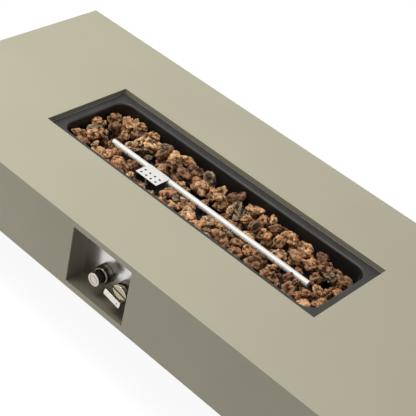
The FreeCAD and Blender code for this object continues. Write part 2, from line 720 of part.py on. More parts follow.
def make_pilot_burner():
    seat = TRAY_FLOOR + PILOT_SHEET
    foot = TRAY_UNDERSIDE - PILOT_TAIL
    tip = TRAY_FLOOR + PILOT_HEIGHT
    x = PILOT_X
    stem = rod(PILOT_RADIUS, V(x, PILOT_Y, foot), V(x, PILOT_Y, tip))
    collar = rod(PILOT_RADIUS + PILOT_COLLAR, V(x, PILOT_Y, seat), V(x, PILOT_Y, seat + PILOT_COLLAR_HEIGHT))
    head = rod(PILOT_HEAD_RADIUS, V(x, PILOT_Y, tip - PILOT_HEAD_HEIGHT), V(x, PILOT_Y, tip))
    slot_y = (PILOT_Y - PILOT_BORE, PILOT_Y + PILOT_BORE)
    slot = block((x, x + PILOT_HEAD_RADIUS + 1), slot_y, (tip - PILOT_SLOT_HEIGHT, tip + 1))
    bore = rod(PILOT_BORE, V(x, PILOT_Y, foot - 1), V(x, PILOT_Y, tip - PILOT_SLOT_HEIGHT / 2))
    return stem.fuse(collar).fuse(head).cut(slot).cut(bore).removeSplitter()


def make_thermocouple():
    x = pilot_places()[2]
    seat = TRAY_FLOOR + PILOT_SHEET
    foot = TRAY_UNDERSIDE - PILOT_TAIL
    tip = TRAY_FLOOR + PROBE_HEIGHT
    stem = rod(PROBE_RADIUS, V(x, PILOT_Y, foot), V(x, PILOT_Y, tip - PROBE_RADIUS))
    end = Part.makeSphere(PROBE_RADIUS, V(x, PILOT_Y, tip - PROBE_RADIUS))
    collar = rod(PROBE_COLLAR_RADIUS, V(x, PILOT_Y, seat), V(x, PILOT_Y, seat + PROBE_COLLAR_HEIGHT))
    return stem.fuse(end).fuse(collar).removeSplitter()


def make_electrode():
    """Ceramic spark electrode with its wire beside the pilot's head."""
    x = pilot_places()[0]
    seat = TRAY_FLOOR + PILOT_SHEET
    foot = TRAY_UNDERSIDE - PILOT_TAIL
    top = TRAY_FLOOR + CERAMIC_HEIGHT
    ceramic = rod(CERAMIC_RADIUS, V(x, PILOT_Y, foot), V(x, PILOT_Y, top))
    collar_radius = CERAMIC_RADIUS + CERAMIC_COLLAR
    collar = rod(collar_radius, V(x, PILOT_Y, seat), V(x, PILOT_Y, seat + CERAMIC_COLLAR_HEIGHT))
    wire = rod(SPARK_WIRE_RADIUS, V(x, PILOT_Y, top), V(x, PILOT_Y, top + SPARK_WIRE_HEIGHT))
    return ceramic.fuse(collar).fuse(wire).removeSplitter()


def make_pilot_hood():
    """Perforated shield plate on the burner tube, with one leg down to the tray's floor."""
    half = HOOD_LENGTH / 2
    low = TUBE_Z + TUBE_RADIUS + HOOD_SEAT
    x = (PILOT_X - half, PILOT_X + half)
    plate = block(x, (HOOD_FRONT_Y, HOOD_BACK_Y), (low, low + HOOD_SHEET))
    leg_y = (HOOD_FRONT_Y, -TUBE_RADIUS - HOOD_LEG_GAP)
    leg = block((x[0], x[0] + HOOD_SHEET), leg_y, (TRAY_FLOOR, low + HOOD_SHEET))
    tab = block((x[0] - HOOD_TAB, x[0] + HOOD_SHEET), leg_y, (TRAY_FLOOR, TRAY_FLOOR + HOOD_SHEET))
    hood = plate.fuse(leg).fuse(tab)
    for column in range(HOOD_HOLE_COLUMNS):
        hole_x = PILOT_X + (column - (HOOD_HOLE_COLUMNS - 1) / 2) * HOOD_HOLE_PITCH
        for row in range(2):
            hole_y = HOOD_FRONT_Y + HOOD_HOLE_FRONT_INSET + row * HOOD_HOLE_ROW_PITCH
            hole = rod(HOOD_HOLE_RADIUS, V(hole_x, hole_y, low - 1), V(hole_x, hole_y, low + HOOD_SHEET + 1))
            hood = hood.cut(hole)
    return hood.removeSplitter()


# Rock bed

def icosahedron():
    """Corner directions and triangles of a regular solid with 20 faces."""
    gold = (1 + math.sqrt(5)) / 2
    corners = []
    for a in (-1, 1):
        for b in (-gold, gold):
            corners += [V(0, a, b), V(a, b, 0), V(b, 0, a)]
    triangles = []
    for i in range(12):
        for j in range(i + 1, 12):
            for k in range(j + 1, 12):
                sides = [(corners[m] - corners[n]).Length for m, n in ((i, j), (j, k), (i, k))]
                if max(sides) < 2.1:
                    triangles.append((i, j, k))
    return [corner.normalize() for corner in corners], triangles


def kept_in_pan(point):
    """Pulls a point in from the tray's rounded corners."""
    corner_x = PAN_X - TRAY_CORNER
    corner_y = PAN_Y - TRAY_CORNER
    over_x = abs(point.x) - corner_x
    over_y = abs(point.y) - corner_y
    reach = math.hypot(over_x, over_y)
    limit = TRAY_CORNER - ROCK_WALL_GAP
    if over_x <= 0 or over_y <= 0 or reach <= limit:
        return point
    x = corner_x + over_x * limit / reach
    y = corner_y + over_y * limit / reach
    return V(math.copysign(x, point.x), math.copysign(y, point.y), point.z)


def make_rock(spans, chance, corners, triangles):
    """One faceted lump that fills its place in the bed, from a (low, high) span on each axis."""
    turn = FreeCAD.Rotation(chance.uniform(0, 360), chance.uniform(0, 360), chance.uniform(0, 360))
    points = [turn.multVec(corner) * chance.uniform(1 - ROCK_ROUGHNESS, 1) for corner in corners]
    lows = [min(point[axis] for point in points) for axis in range(3)]
    highs = [max(point[axis] for point in points) for axis in range(3)]
    placed = []
    for point in points:
        place = []
        for axis, (low, high) in enumerate(spans):
            share = (point[axis] - lows[axis]) / (highs[axis] - lows[axis])
            place.append(low + (high - low) * share)
        placed.append(kept_in_pan(V(*place)))
    faces = []
    for i, j, k in triangles:
        faces.append(Part.Face(Part.makePolygon([placed[i], placed[j], placed[k], placed[i]])))
    solid = Part.Solid(Part.Shell(faces))
    if solid.Volume < 0:
        solid.reverse()
    return solid


def rock_strips():
    """Strips of rocks along the tray, as (low, high) distances from its middle line."""
    first = ROCK_WALL_GAP - HOOD_FRONT_Y
    far = PAN_Y - ROCK_WALL_GAP
    count = max(1, round((far - first) / ROCK_PITCH))
    step = (far - first) / count
    strips = [(TUBE_RADIUS + ROCK_TUBE_GAP, first)]
    return strips + [(first + index * step, first + (index + 1) * step) for index in range(count)]


def shared_out(low, high, chance):
    """Uneven neighbouring spans that fill a strip from low to high."""
    count = max(1, round((high - low) / ROCK_PITCH))
    shares = [chance.uniform(1 - ROCK_UNEVENNESS, 1 + ROCK_UNEVENNESS) for _ in range(count)]
    scale = (high - low) / sum(shares)
    spans = []
    for share in shares:
        spans.append((low, low + share * scale))
        low += share * scale
    return spans


def beside_hood(span):
    """The larger part of a span that lies beside the pilot hood, or None when too little is left."""
    low = PILOT_X - HOOD_LENGTH / 2 - HOOD_TAB - ROCK_WALL_GAP
    high = PILOT_X + HOOD_LENGTH / 2 + ROCK_WALL_GAP
    left = (span[0], min(span[1], low))
    right = (max(span[0], high), span[1])
    rest = max(left, right, key=lambda part: part[1] - part[0])
    return rest if rest[1] - rest[0] > ROCK_LEAST else None


def rock_places(chance):
    """Places in the strips beside the burner tube, and past its ends."""
    end = PAN_X - ROCK_WALL_GAP
    places = []
    for row, (low, high) in enumerate(rock_strips()):
        for side in (-1, 1):
            for span in shared_out(-end, end, chance):
                if side < 0 and row == 0:
                    span = beside_hood(span)
                if span:
                    places.append((span, sorted((side * low, side * high))))
    near = TUBE_RADIUS + ROCK_TUBE_GAP
    for side in (-1, 1):
        for span in shared_out(TUBE_LENGTH / 2 + ROCK_TUBE_GAP, end, chance):
            places.append((sorted(side * x for x in span), (-near, near)))
    return places


def make_lava_rocks():
    chance = random.Random(ROCK_SEED)
    corners, triangles = icosahedron()
    rocks = []
    for x_span, y_span in rock_places(chance):
        top = TOP - chance.uniform(ROCK_HIGH_TOP, ROCK_LOW_TOP)
        half_gap = ROCK_GAP / 2
        spans = [(low + half_gap, high - half_gap) for low, high in (x_span, y_span)]
        spans.append((TRAY_FLOOR + ROCK_SEAT, top))
        rocks.append(make_rock(spans, chance, corners, triangles))
    return rocks


# Niche

def make_niche_liner():
    out_x = NICHE_X + LINER_SHEET
    z = (NICHE_BOTTOM - LINER_SHEET, NICHE_TOP + LINER_SHEET)
    sleeve = block((-out_x, out_x), (-INNER_Y, PLATE_Y), z)
    edge_x = out_x + LINER_FLANGE
    flange_z = (z[0] - LINER_FLANGE, z[1] + LINER_FLANGE)
    flange = block((-edge_x, edge_x), (PLATE_Y - LINER_SHEET, PLATE_Y), flange_z).fuse(sleeve)
    hollow = block((-NICHE_X, NICHE_X), (-HALF_DEPTH, PLATE_Y + 1), (NICHE_BOTTOM, NICHE_TOP))
    return drilled_for_plate(flange.cut(hollow).removeSplitter())


def plate_screw_places():
    x = NICHE_X + LINER_SHEET + LINER_FLANGE / 2
    middle = (NICHE_BOTTOM + NICHE_TOP) / 2
    rise = (NICHE_TOP - NICHE_BOTTOM) / 2 - LINER_FLANGE
    return [(side * x, middle + step * rise) for side in (-1, 1) for step in (-1, 0, 1)]


def drilled_for_plate(shape):
    radius = SCREW_RADIUS + SCREW_CLEARANCE
    for x, z in plate_screw_places():
        shape = shape.cut(rod(radius, V(x, PLATE_Y - LINER_SHEET - 1, z), V(x, PLATE_BACK + 1, z)))
    return shape


def make_control_plate():
    edge_x = NICHE_X + LINER_SHEET + LINER_FLANGE
    margin = LINER_SHEET + LINER_FLANGE
    plate = block((-edge_x, edge_x), (PLATE_Y, PLATE_BACK), (NICHE_BOTTOM - margin, NICHE_TOP + margin))
    igniter = rod(BARREL_THREAD_RADIUS + SCREW_CLEARANCE, V(IGNITER_X, PLATE_Y - 1, IGNITER_Z),
                  V(IGNITER_X, PLATE_BACK + 1, IGNITER_Z))
    valve = rod(VALVE_NECK_RADIUS + SCREW_CLEARANCE, V(VALVE_X, PLATE_Y - 1, VALVE_Z),
                V(VALVE_X, PLATE_BACK + 1, VALVE_Z))
    return drilled_for_plate(plate.cut(igniter).cut(valve))


def make_plate_screws():
    screws = []
    for x, z in plate_screw_places():
        shank = rod(SCREW_RADIUS, V(x, PLATE_Y - LINER_SHEET - SCREW_TAIL, z), V(x, PLATE_BACK, z))
        head = rod(SCREW_HEAD_RADIUS, V(x, PLATE_BACK, z), V(x, PLATE_BACK + SCREW_HEAD_HEIGHT, z))
        screws.append(shank.fuse(head))
    return screws


def make_bell(x, z, bore):
    """Chrome cup round a control: wide at the plate, drawn in towards its open mouth."""
    points = [(bore, 0), (BELL_RADIUS - BELL_FOOT, 0), (BELL_RADIUS, BELL_FOOT), (BELL_RADIUS, BELL_SHOULDER)]
    for step in range(1, BELL_CURVE_STEPS + 1):
        angle = math.radians(90 * step / BELL_CURVE_STEPS)
        radius = BELL_FRONT_RADIUS + (BELL_RADIUS - BELL_FRONT_RADIUS) * math.cos(angle)
        points.append((radius, BELL_SHOULDER + (BELL_DEPTH - BELL_SHOULDER) * math.sin(angle)))
    points += [(BELL_MOUTH_RADIUS, BELL_DEPTH), (BELL_MOUTH_RADIUS, BELL_WEB), (bore, BELL_WEB)]
    return turned(points, x, z)


# Igniter

def make_igniter_barrel():
    """Ribbed barrel in front of the plate and threaded tail behind it, hollow for the battery."""
    x, z = IGNITER_X, IGNITER_Z
    barrel = turned([(0, BELL_WEB), (BARREL_RADIUS, BELL_WEB), (BARREL_RADIUS, BARREL_REACH - 1),
                     (BARREL_RADIUS - 1, BARREL_REACH), (0, BARREL_REACH)], x, z)
    grooves = []
    for index in range(BARREL_RIB_COUNT):
        angle = 2 * math.pi * index / BARREL_RIB_COUNT
        gx = x + BARREL_RADIUS * math.cos(angle)
        gz = z + BARREL_RADIUS * math.sin(angle)
        start = V(gx, PLATE_Y - BELL_DEPTH, gz)
        grooves.append(rod(BARREL_RIB_DEPTH, start, V(gx, PLATE_Y - BARREL_REACH + BARREL_RIB_INSET, gz)))
    barrel = barrel.cut(Part.makeCompound(grooves))
    tail = rod(BARREL_THREAD_RADIUS, V(x, PLATE_Y - BELL_WEB, z), V(x, PLATE_BACK + BARREL_TAIL, z))
    mouth = V(x, PLATE_Y - BARREL_REACH - 1, z)
    bore = rod(PLUNGER_RADIUS + PLUNGER_GAP, V(x, PLUNGER_BACK_Y + CAP_TRAVEL + CAP_SPARE, z), mouth)
    chamber_end = PLUNGER_BACK_Y + BATTERY_LENGTH + CAP_TRAVEL + CONTACT_SPACE
    chamber = rod(BATTERY_RADIUS + BATTERY_GAP, V(x, chamber_end, z), mouth)
    return barrel.fuse(tail).cut(bore).cut(chamber).removeSplitter()


def make_igniter_nut():
    start = V(IGNITER_X, PLATE_BACK, IGNITER_Z)
    end = V(IGNITER_X, PLATE_BACK + IGNITER_NUT_HEIGHT, IGNITER_Z)
    return hexagon(IGNITER_NUT_FLATS, start, end).cut(rod(BARREL_THREAD_RADIUS + FIT_GAP, start, end))


def make_igniter_plunger():
    back = V(IGNITER_X, PLUNGER_BACK_Y, IGNITER_Z)
    return rod(PLUNGER_RADIUS, back, V(IGNITER_X, PLATE_Y - CAP_BACK, IGNITER_Z))


def make_igniter_battery():
    """Small round cell that the plunger pushes back against its contact."""
    back = V(IGNITER_X, PLUNGER_BACK_Y + BATTERY_LENGTH, IGNITER_Z)
    return rod(BATTERY_RADIUS, back, V(IGNITER_X, PLUNGER_BACK_Y, IGNITER_Z))


def make_igniter_cap():
    """Round metal cap with a ring sunk in its face."""
    front = CAP_BACK + CAP_THICKNESS
    ring = CAP_RING_RADIUS
    sunk = front - CAP_RING_DEPTH
    points = [(0, CAP_BACK), (CAP_RADIUS - 1, CAP_BACK), (CAP_RADIUS, CAP_BACK + 1), (CAP_RADIUS, front - 1),
              (CAP_RADIUS - 1, front), (ring + CAP_RING_WIDTH, front), (ring + CAP_RING_WIDTH, sunk),
              (ring, sunk), (ring, front), (0, front)]
    return turned(points, IGNITER_X, IGNITER_Z)


# Valve and knob

VALVE_FRONT = PLATE_BACK
VALVE_REAR = VALVE_FRONT + VALVE_DEPTH
VALVE_PORT_Y = VALVE_FRONT + PORT_Y_FROM_BLOCK_FRONT
PLUG_START = VALVE_REAR - PLUG_LENGTH


def valve_point(y, x=0.0, z=0.0):
    return V(VALVE_X + x, y, VALVE_Z + z)


def make_gas_valve_body():
    """Brass block behind the plate, with its neck, inlet on the right and outlet below."""
    half = VALVE_BLOCK / 2
    body_z = (VALVE_Z - half, VALVE_Z + half)
    body = block((VALVE_X - half, VALVE_X + half), (VALVE_FRONT, VALVE_REAR), body_z)
    neck_end = valve_point(PLATE_Y - VALVE_NECK_REACH)
    body = body.fuse(rod(VALVE_NECK_RADIUS, neck_end, valve_point(VALVE_FRONT)))
    reach = half + PORT_FITTING_LENGTH
    inlet = rod(PORT_FITTING_RADIUS, valve_point(VALVE_PORT_Y), valve_point(VALVE_PORT_Y, x=reach))
    outlet = rod(PORT_FITTING_RADIUS, valve_point(VALVE_PORT_Y), valve_point(VALVE_PORT_Y, z=-reach))
    offset = PILOT_FITTING_OFFSET
    pilot = rod(PILOT_FITTING_RADIUS, valve_point(VALVE_REAR - 1, x=offset, z=offset),
                valve_point(VALVE_REAR + PILOT_FITTING_LENGTH, x=offset, z=offset))
    body = body.fuse(inlet).fuse(outlet).fuse(pilot)
    bore = GAS_PIPE_RADIUS - GAS_PIPE_WALL
    body = body.cut(rod(bore, valve_point(VALVE_PORT_Y), valve_point(VALVE_PORT_Y, x=reach + 1)))
    body = body.cut(rod(bore, valve_point(VALVE_PORT_Y), valve_point(VALVE_PORT_Y, z=-reach - 1)))
    body = body.cut(rod(PLUG_RADIUS + PLUG_GAP, valve_point(PLUG_START), valve_point(VALVE_REAR + 1)))
    neck_bore = SPINDLE_RADIUS + SPINDLE_NECK_GAP
    body = body.cut(rod(neck_bore, valve_point(PLATE_Y - VALVE_NECK_REACH - 1), valve_point(PLUG_START + 1)))
    return body.removeSplitter()


def make_magnet_unit():
    """Flame safety unit that closes the valve's rear and takes the thermocouple lead."""
    return rod(MAGNET_RADIUS, valve_point(VALVE_REAR), valve_point(VALVE_REAR + MAGNET_LENGTH))


def make_valve_plug():
    plug = rod(PLUG_RADIUS, valve_point(PLUG_START + PLUG_END_GAP), valve_point(VALVE_REAR - PLUG_END_GAP))
    bore = rod(SPINDLE_RADIUS + PLUG_GAP, valve_point(PLUG_START), valve_point(VALVE_REAR - PLUG_FLOOR))
    port = rod(PLUG_PORT_RADIUS, valve_point(VALVE_PORT_Y, z=-PLUG_RADIUS), valve_point(VALVE_PORT_Y))
    return plug.cut(bore).cut(port)


SKIRT_BACK = BELL_DEPTH + KNOB_TRAVEL + KNOB_SPARE
SKIRT_FRONT = SKIRT_BACK + SKIRT_THICKNESS
GRIP_FRONT = SKIRT_FRONT + GRIP_HEIGHT


def make_valve_spindle():
    start = valve_point(PLUG_START + SPINDLE_IN_PLUG)
    end = valve_point(PLATE_Y - SKIRT_FRONT - SPINDLE_IN_KNOB)
    return rod(SPINDLE_RADIUS, start, end)


def make_valve_nut():
    start = valve_point(PLATE_Y - BELL_WEB - VALVE_NUT_HEIGHT)
    end = valve_point(PLATE_Y - BELL_WEB)
    return hexagon(VALVE_NUT_FLATS, start, end).cut(rod(VALVE_NECK_RADIUS + FIT_GAP, start, end))


def make_knob_skirt():
    """Chrome disc behind the grip, with a rounded front edge."""
    points = [(SPINDLE_RADIUS, SKIRT_BACK), (SKIRT_RADIUS - SKIRT_EDGE, SKIRT_BACK),
              (SKIRT_RADIUS, SKIRT_BACK + SKIRT_EDGE)]
    for step in range(SKIRT_CURVE_STEPS + 1):
        angle = math.radians(90 * step / SKIRT_CURVE_STEPS)
        radius = SKIRT_RADIUS - SKIRT_ROUND * (1 - math.cos(angle))
        points.append((radius, SKIRT_FRONT - SKIRT_ROUND * (1 - math.sin(angle))))
    points.append((SPINDLE_RADIUS, SKIRT_FRONT))
    return turned(points, VALVE_X, VALVE_Z)


def make_bar(reach, width, start, end):
    """A bar across the knob with its ends on a circle, between two distances from the plate."""
    bar = block((-reach, reach), (PLATE_Y - end, PLATE_Y - start), (-width / 2, width / 2))
    bar = bar.common(rod(reach, V(0, PLATE_Y - end, 0), V(0, PLATE_Y - start, 0)))
    bar.rotate(V(0, 0, 0), V(0, -1, 0), GRIP_ANGLE)
    bar.translate(V(VALVE_X, 0, VALVE_Z))
    return bar


def make_knob_grip():
    width = GRIP_WIDTH - 2 * FACE_OVERHANG
    grip = make_bar(GRIP_REACH - FACE_OVERHANG, width, SKIRT_FRONT, GRIP_FRONT)
    socket = rod(SPINDLE_RADIUS, valve_point(PLATE_Y - SKIRT_FRONT - SPINDLE_IN_KNOB), valve_point(PLATE_Y))
    return grip.cut(socket)


def make_knob_face():
    """Metal face of the grip, with a pointer dimple near one end."""
    face = make_bar(GRIP_REACH, GRIP_WIDTH, GRIP_FRONT, GRIP_FRONT + FACE_THICKNESS)
    front = PLATE_Y - GRIP_FRONT - FACE_THICKNESS
    rim = [edge for edge in face.Edges if abs(edge.BoundBox.YMax - front) < 1e-4]
    face = face.makeFillet(FACE_EDGE_RADIUS, rim)
    reach = GRIP_REACH - POINTER_INSET
    angle = math.radians(GRIP_ANGLE)
    x = reach * math.cos(angle)
    z = reach * math.sin(angle)
    bottom = valve_point(front + POINTER_DEPTH, x, z)
    return face.cut(rod(POINTER_RADIUS, valve_point(front - 1, x, z), bottom))


# Gas lines and leads

def make_main_gas_pipe():
    outlet = valve_point(VALVE_PORT_Y, z=-VALVE_BLOCK / 2 - PORT_FITTING_LENGTH)
    low = outlet - V(0, 0, PIPE_BEND + PIPE_STRAIGHT)
    port = V(0, -INJECTOR_PORT_REACH, INJECTOR_PORT_Z)
    last_turn = port - V(0, 2 * PIPE_BEND + PIPE_STRAIGHT, 0)
    first_turn = V(low.x, last_turn.y - PIPE_JOG_RUN, low.z)
    points = [outlet, low, first_turn, last_turn, port]
    return swept("main gas pipe", points, GAS_PIPE_RADIUS, PIPE_BEND, GAS_PIPE_RADIUS - GAS_PIPE_WALL)


INLET_SEAT = COVER_TOP
INLET_TOP = INLET_SEAT + INLET_HEX_HEIGHT


def make_inlet_pipe():
    start = valve_point(VALVE_PORT_Y, x=VALVE_BLOCK / 2 + PORT_FITTING_LENGTH)
    points = [start, V(INLET_X, VALVE_PORT_Y, VALVE_Z), V(INLET_X, VALVE_PORT_Y, INLET_TOP)]
    return swept("inlet pipe", points, GAS_PIPE_RADIUS, PIPE_BEND, GAS_PIPE_RADIUS - GAS_PIPE_WALL)


def inlet_point(z):
    return V(INLET_X, VALVE_PORT_Y, z)


def make_inlet_bulkhead():
    """Brass bulkhead fitting: hexagon inside the body, threaded stub for the hose below it."""
    neck_end = COVER_Z - INLET_NUT_HEIGHT
    stub_end = neck_end - INLET_THREAD_LENGTH
    head = hexagon(INLET_HEX_FLATS, inlet_point(INLET_SEAT), inlet_point(INLET_TOP))
    neck = rod(INLET_NECK_RADIUS, inlet_point(neck_end), inlet_point(INLET_SEAT + 1))
    stub = rod(INLET_THREAD_RADIUS, inlet_point(stub_end), inlet_point(neck_end))
    bore = rod(INLET_BORE, inlet_point(stub_end - 1), inlet_point(INLET_TOP + 1))
    return head.fuse(neck).fuse(stub).cut(bore).removeSplitter()


def make_inlet_nut():
    low = inlet_point(COVER_Z - INLET_NUT_HEIGHT)
    high = inlet_point(COVER_Z)
    return hexagon(INLET_HEX_FLATS, low, high).cut(rod(INLET_NECK_RADIUS + FIT_GAP, low, high))


def lead_points(start, drop, x):
    """A lead from behind the plate, down and along below the tray, and up to a pilot part."""
    foot = V(x, PILOT_Y, TRAY_UNDERSIDE - PILOT_TAIL)
    back = start + V(0, LEAD_FIRST_RUN, 0)
    level = foot.z - drop
    return [start, back, V(x, (back.y + PILOT_Y) / 2, level), V(x, PILOT_Y, level), foot]


def make_thermocouple_lead():
    points = lead_points(valve_point(VALVE_REAR + MAGNET_LENGTH), THERMO_LEAD_DROP, pilot_places()[2])
    return swept("thermocouple lead", points, THERMO_LEAD_RADIUS)


def make_pilot_pipe():
    offset = PILOT_FITTING_OFFSET
    start = valve_point(VALVE_REAR + PILOT_FITTING_LENGTH, x=offset, z=offset)
    points = lead_points(start, PILOT_PIPE_DROP, PILOT_X)
    return swept("pilot pipe", points, PILOT_PIPE_RADIUS, bore=PILOT_PIPE_RADIUS - PILOT_PIPE_WALL)


def make_ignition_lead():
    start = V(IGNITER_X, PLATE_BACK + BARREL_TAIL, IGNITER_Z)
    points = lead_points(start, IGNITION_LEAD_DROP, pilot_places()[0])
    return swept("ignition lead", points, IGNITION_LEAD_RADIUS)


# Legs and feet

def rail_places():
    return [side * LEG_X + offset for side in (-1, 1) for offset in (-LEG_BOLT_OFFSET, LEG_BOLT_OFFSET)]


def leg_bolt_places():
    rows = [(index - (LEG_BOLT_COUNT - 1) / 2) * LEG_BOLT_PITCH for index in range(LEG_BOLT_COUNT)]
    return [(x, y) for x in rail_places() for y in rows]


def foot_places():
    return {"front_left": (-LEG_X, -FOOT_Y), "front_right": (LEG_X, -FOOT_Y),
            "back_left": (-LEG_X, FOOT_Y), "back_right": (LEG_X, FOOT_Y)}


def make_leg(side):
    """Hollow plinth leg with a wider plate on top, welded from sheet."""
    x = side * LEG_X
    half_x = LEG_THICKNESS / 2
    half_y = LEG_DEPTH / 2
    wide = half_x + LEG_PLATE_OVERHANG
    plate_low = LEG_TOP - LEG_PLATE
    leg = block((x - half_x, x + half_x), (-half_y, half_y), (LEG_GROUND_GAP, plate_low))
    leg = leg.fuse(block((x - wide, x + wide), (-half_y, half_y), (plate_low, LEG_TOP)))
    inside = block((x - half_x + PANEL, x + half_x - PANEL), (-half_y + PANEL, half_y - PANEL),
                   (LEG_GROUND_GAP + PANEL, plate_low))
    leg = leg.cut(inside)
    for bolt_x, y in leg_bolt_places():
        low = V(bolt_x, y, plate_low - 1)
        leg = leg.cut(rod(LEG_BOLT_RADIUS + LEG_BOLT_CLEARANCE, low, V(bolt_x, y, LEG_TOP + 1)))
    for foot_x, y in foot_places().values():
        low = V(foot_x, y, LEG_GROUND_GAP - 1)
        leg = leg.cut(rod(FOOT_STUD_RADIUS + FOOT_HOLE_GAP, low, V(foot_x, y, LEG_GROUND_GAP + PANEL + 1)))
    return leg.removeSplitter()


def make_leg_rails():
    """Tubes across the body that the legs are bolted to, notched at their ends over the returns."""
    rails = []
    for x in rail_places():
        half = FRAME_TUBE / 2
        rail = square_tube((x - half, x + half), (-INNER_Y, INNER_Y), (COVER_TOP, COVER_TOP + FRAME_TUBE), 1)
        for side in (-1, 1):
            notch_y = sorted((side * RETURN_Y, side * HALF_DEPTH))
            rail = rail.cut(block((x - half, x + half), notch_y, (COVER_TOP, RETURN_TOP)))
        for bolt_x, y in leg_bolt_places():
            low = V(bolt_x, y, COVER_TOP)
            rail = rail.cut(rod(RIVET_NUT_RADIUS + FIT_GAP, low, V(bolt_x, y, COVER_TOP + FRAME_WALL)))
        rails.append(rail)
    return rails


def make_leg_bolts():
    bolts = []
    seat = LEG_TOP - LEG_PLATE
    for x, y in leg_bolt_places():
        head = hexagon(LEG_BOLT_HEAD_FLATS, V(x, y, seat - LEG_BOLT_HEAD_HEIGHT), V(x, y, seat))
        bolts.append(head.fuse(rod(LEG_BOLT_RADIUS, V(x, y, seat - 1), V(x, y, seat + LEG_BOLT_REACH))))
    return bolts


def make_rivet_nuts():
    """Threaded sleeves pressed into the rails, with their collars inside."""
    nuts = []
    for x, y in leg_bolt_places():
        low = V(x, y, COVER_TOP)
        high = V(x, y, COVER_TOP + RIVET_NUT_LENGTH)
        wall = V(x, y, COVER_TOP + FRAME_WALL)
        collar = rod(RIVET_NUT_COLLAR, wall, wall + V(0, 0, RIVET_NUT_COLLAR_HEIGHT))
        nut = rod(RIVET_NUT_RADIUS, low, high).fuse(collar)
        nuts.append(nut.cut(rod(LEG_BOLT_RADIUS + FIT_GAP, low, high)))
    return nuts


def make_foot_bushes():
    """Threaded bushes welded inside the legs' base plates."""
    bushes = []
    for x, y in foot_places().values():
        low = V(x, y, LEG_GROUND_GAP + PANEL)
        high = V(x, y, LEG_GROUND_GAP + PANEL + FOOT_BUSH_HEIGHT)
        bushes.append(rod(FOOT_BUSH_RADIUS, low, high).cut(rod(FOOT_STUD_RADIUS + FOOT_FIT_GAP, low, high)))
    return bushes


def make_foot_lock_nuts():
    nuts = []
    for x, y in foot_places().values():
        low = V(x, y, LEG_GROUND_GAP - FOOT_NUT_HEIGHT)
        high = V(x, y, LEG_GROUND_GAP)
        nut = hexagon(FOOT_NUT_FLATS, low, high)
        nuts.append(nut.cut(rod(FOOT_STUD_RADIUS + FOOT_FIT_GAP, low, high)))
    return nuts


def make_foot(x, y):
    """Levelling foot: threaded stud and disc in one."""
    disc = rod(FOOT_DISC_RADIUS, V(x, y, 0), V(x, y, FOOT_DISC_EDGE))
    cone = Part.makeCone(FOOT_DISC_RADIUS, FOOT_DISC_TOP_RADIUS, FOOT_DISC_HEIGHT - FOOT_DISC_EDGE,
                         V(x, y, FOOT_DISC_EDGE))
    stud = rod(FOOT_STUD_RADIUS, V(x, y, FOOT_DISC_EDGE), V(x, y, FOOT_STUD_TOP))
    return disc.fuse(cone).fuse(stud).removeSplitter()


save("top_panel", make_top_panel())
save("front_panel", make_front_panel())
save("back_panel", drilled_for_screws(make_long_panel(1), underside_screw_places()[0]))
save("left_end_panel", make_end_panel(-1))
save("right_end_panel", make_end_panel(1))
save("bottom_cover", make_bottom_cover())
save("service_hatch", make_service_hatch())
save("panel_screws", *make_underside_screws(), *make_plate_screws())
save("corner_posts", *make_corner_posts())
save("top_frame", *make_cross_members(), *make_long_members())
save("tray_ledges", *make_tray_ledges())
save("burner_tray", make_burner_tray())
save("burner_tube", make_burner_tube())
save("burner_end_plugs", *make_end_plugs())
save("burner_saddles", *make_saddles())
save("mixer_tube", make_mixer_tube())
save("mixer_lock_nut", make_mixer_nut())
save("injector", make_injector())
save("pilot_bracket", make_pilot_bracket())
save("pilot_burner", make_pilot_burner())
save("thermocouple", make_thermocouple())
save("ignition_electrode", make_electrode())
save("pilot_hood", make_pilot_hood())
save("lava_rocks", *make_lava_rocks())
save("niche_liner", make_niche_liner())
save("control_plate", make_control_plate())
save("igniter_bezel", make_bell(IGNITER_X, IGNITER_Z, BARREL_THREAD_RADIUS + BELL_BORE_GAP))
save("igniter_barrel", make_igniter_barrel())
save("igniter_nut", make_igniter_nut())
save("igniter_plunger", make_igniter_plunger())
save("igniter_battery", make_igniter_battery())
save("igniter_cap", make_igniter_cap())
save("gas_valve_body", make_gas_valve_body())
save("magnet_unit", make_magnet_unit())
save("valve_plug", make_valve_plug())
save("valve_spindle", make_valve_spindle())
save("valve_bezel", make_bell(VALVE_X, VALVE_Z, VALVE_NECK_RADIUS + BELL_BORE_GAP))
save("valve_nut", make_valve_nut())
save("knob_skirt", make_knob_skirt())
save("knob_grip", make_knob_grip())
save("knob_face", make_knob_face())
save("main_gas_pipe", make_main_gas_pipe())
save("inlet_pipe", make_inlet_pipe())
save("inlet_bulkhead", make_inlet_bulkhead())
save("inlet_nut", make_inlet_nut())
save("thermocouple_lead", make_thermocouple_lead())
save("pilot_pipe", make_pilot_pipe())
save("ignition_lead", make_ignition_lead())
save("leg_left", make_leg(-1))
save("leg_right", make_leg(1))
save("leg_rails", *make_leg_rails())
save("leg_bolts", *make_leg_bolts())
save("leg_rivet_nuts", *make_rivet_nuts())
save("foot_bushes", *make_foot_bushes())
save("foot_lock_nuts", *make_foot_lock_nuts())
for place, (foot_x, foot_y) in foot_places().items():
    save("foot_" + place, make_foot(foot_x, foot_y))
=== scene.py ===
import json
import math
import random

import bmesh
import bpy
import numpy as np
from mathutils import Euler, Matrix, Vector, noise


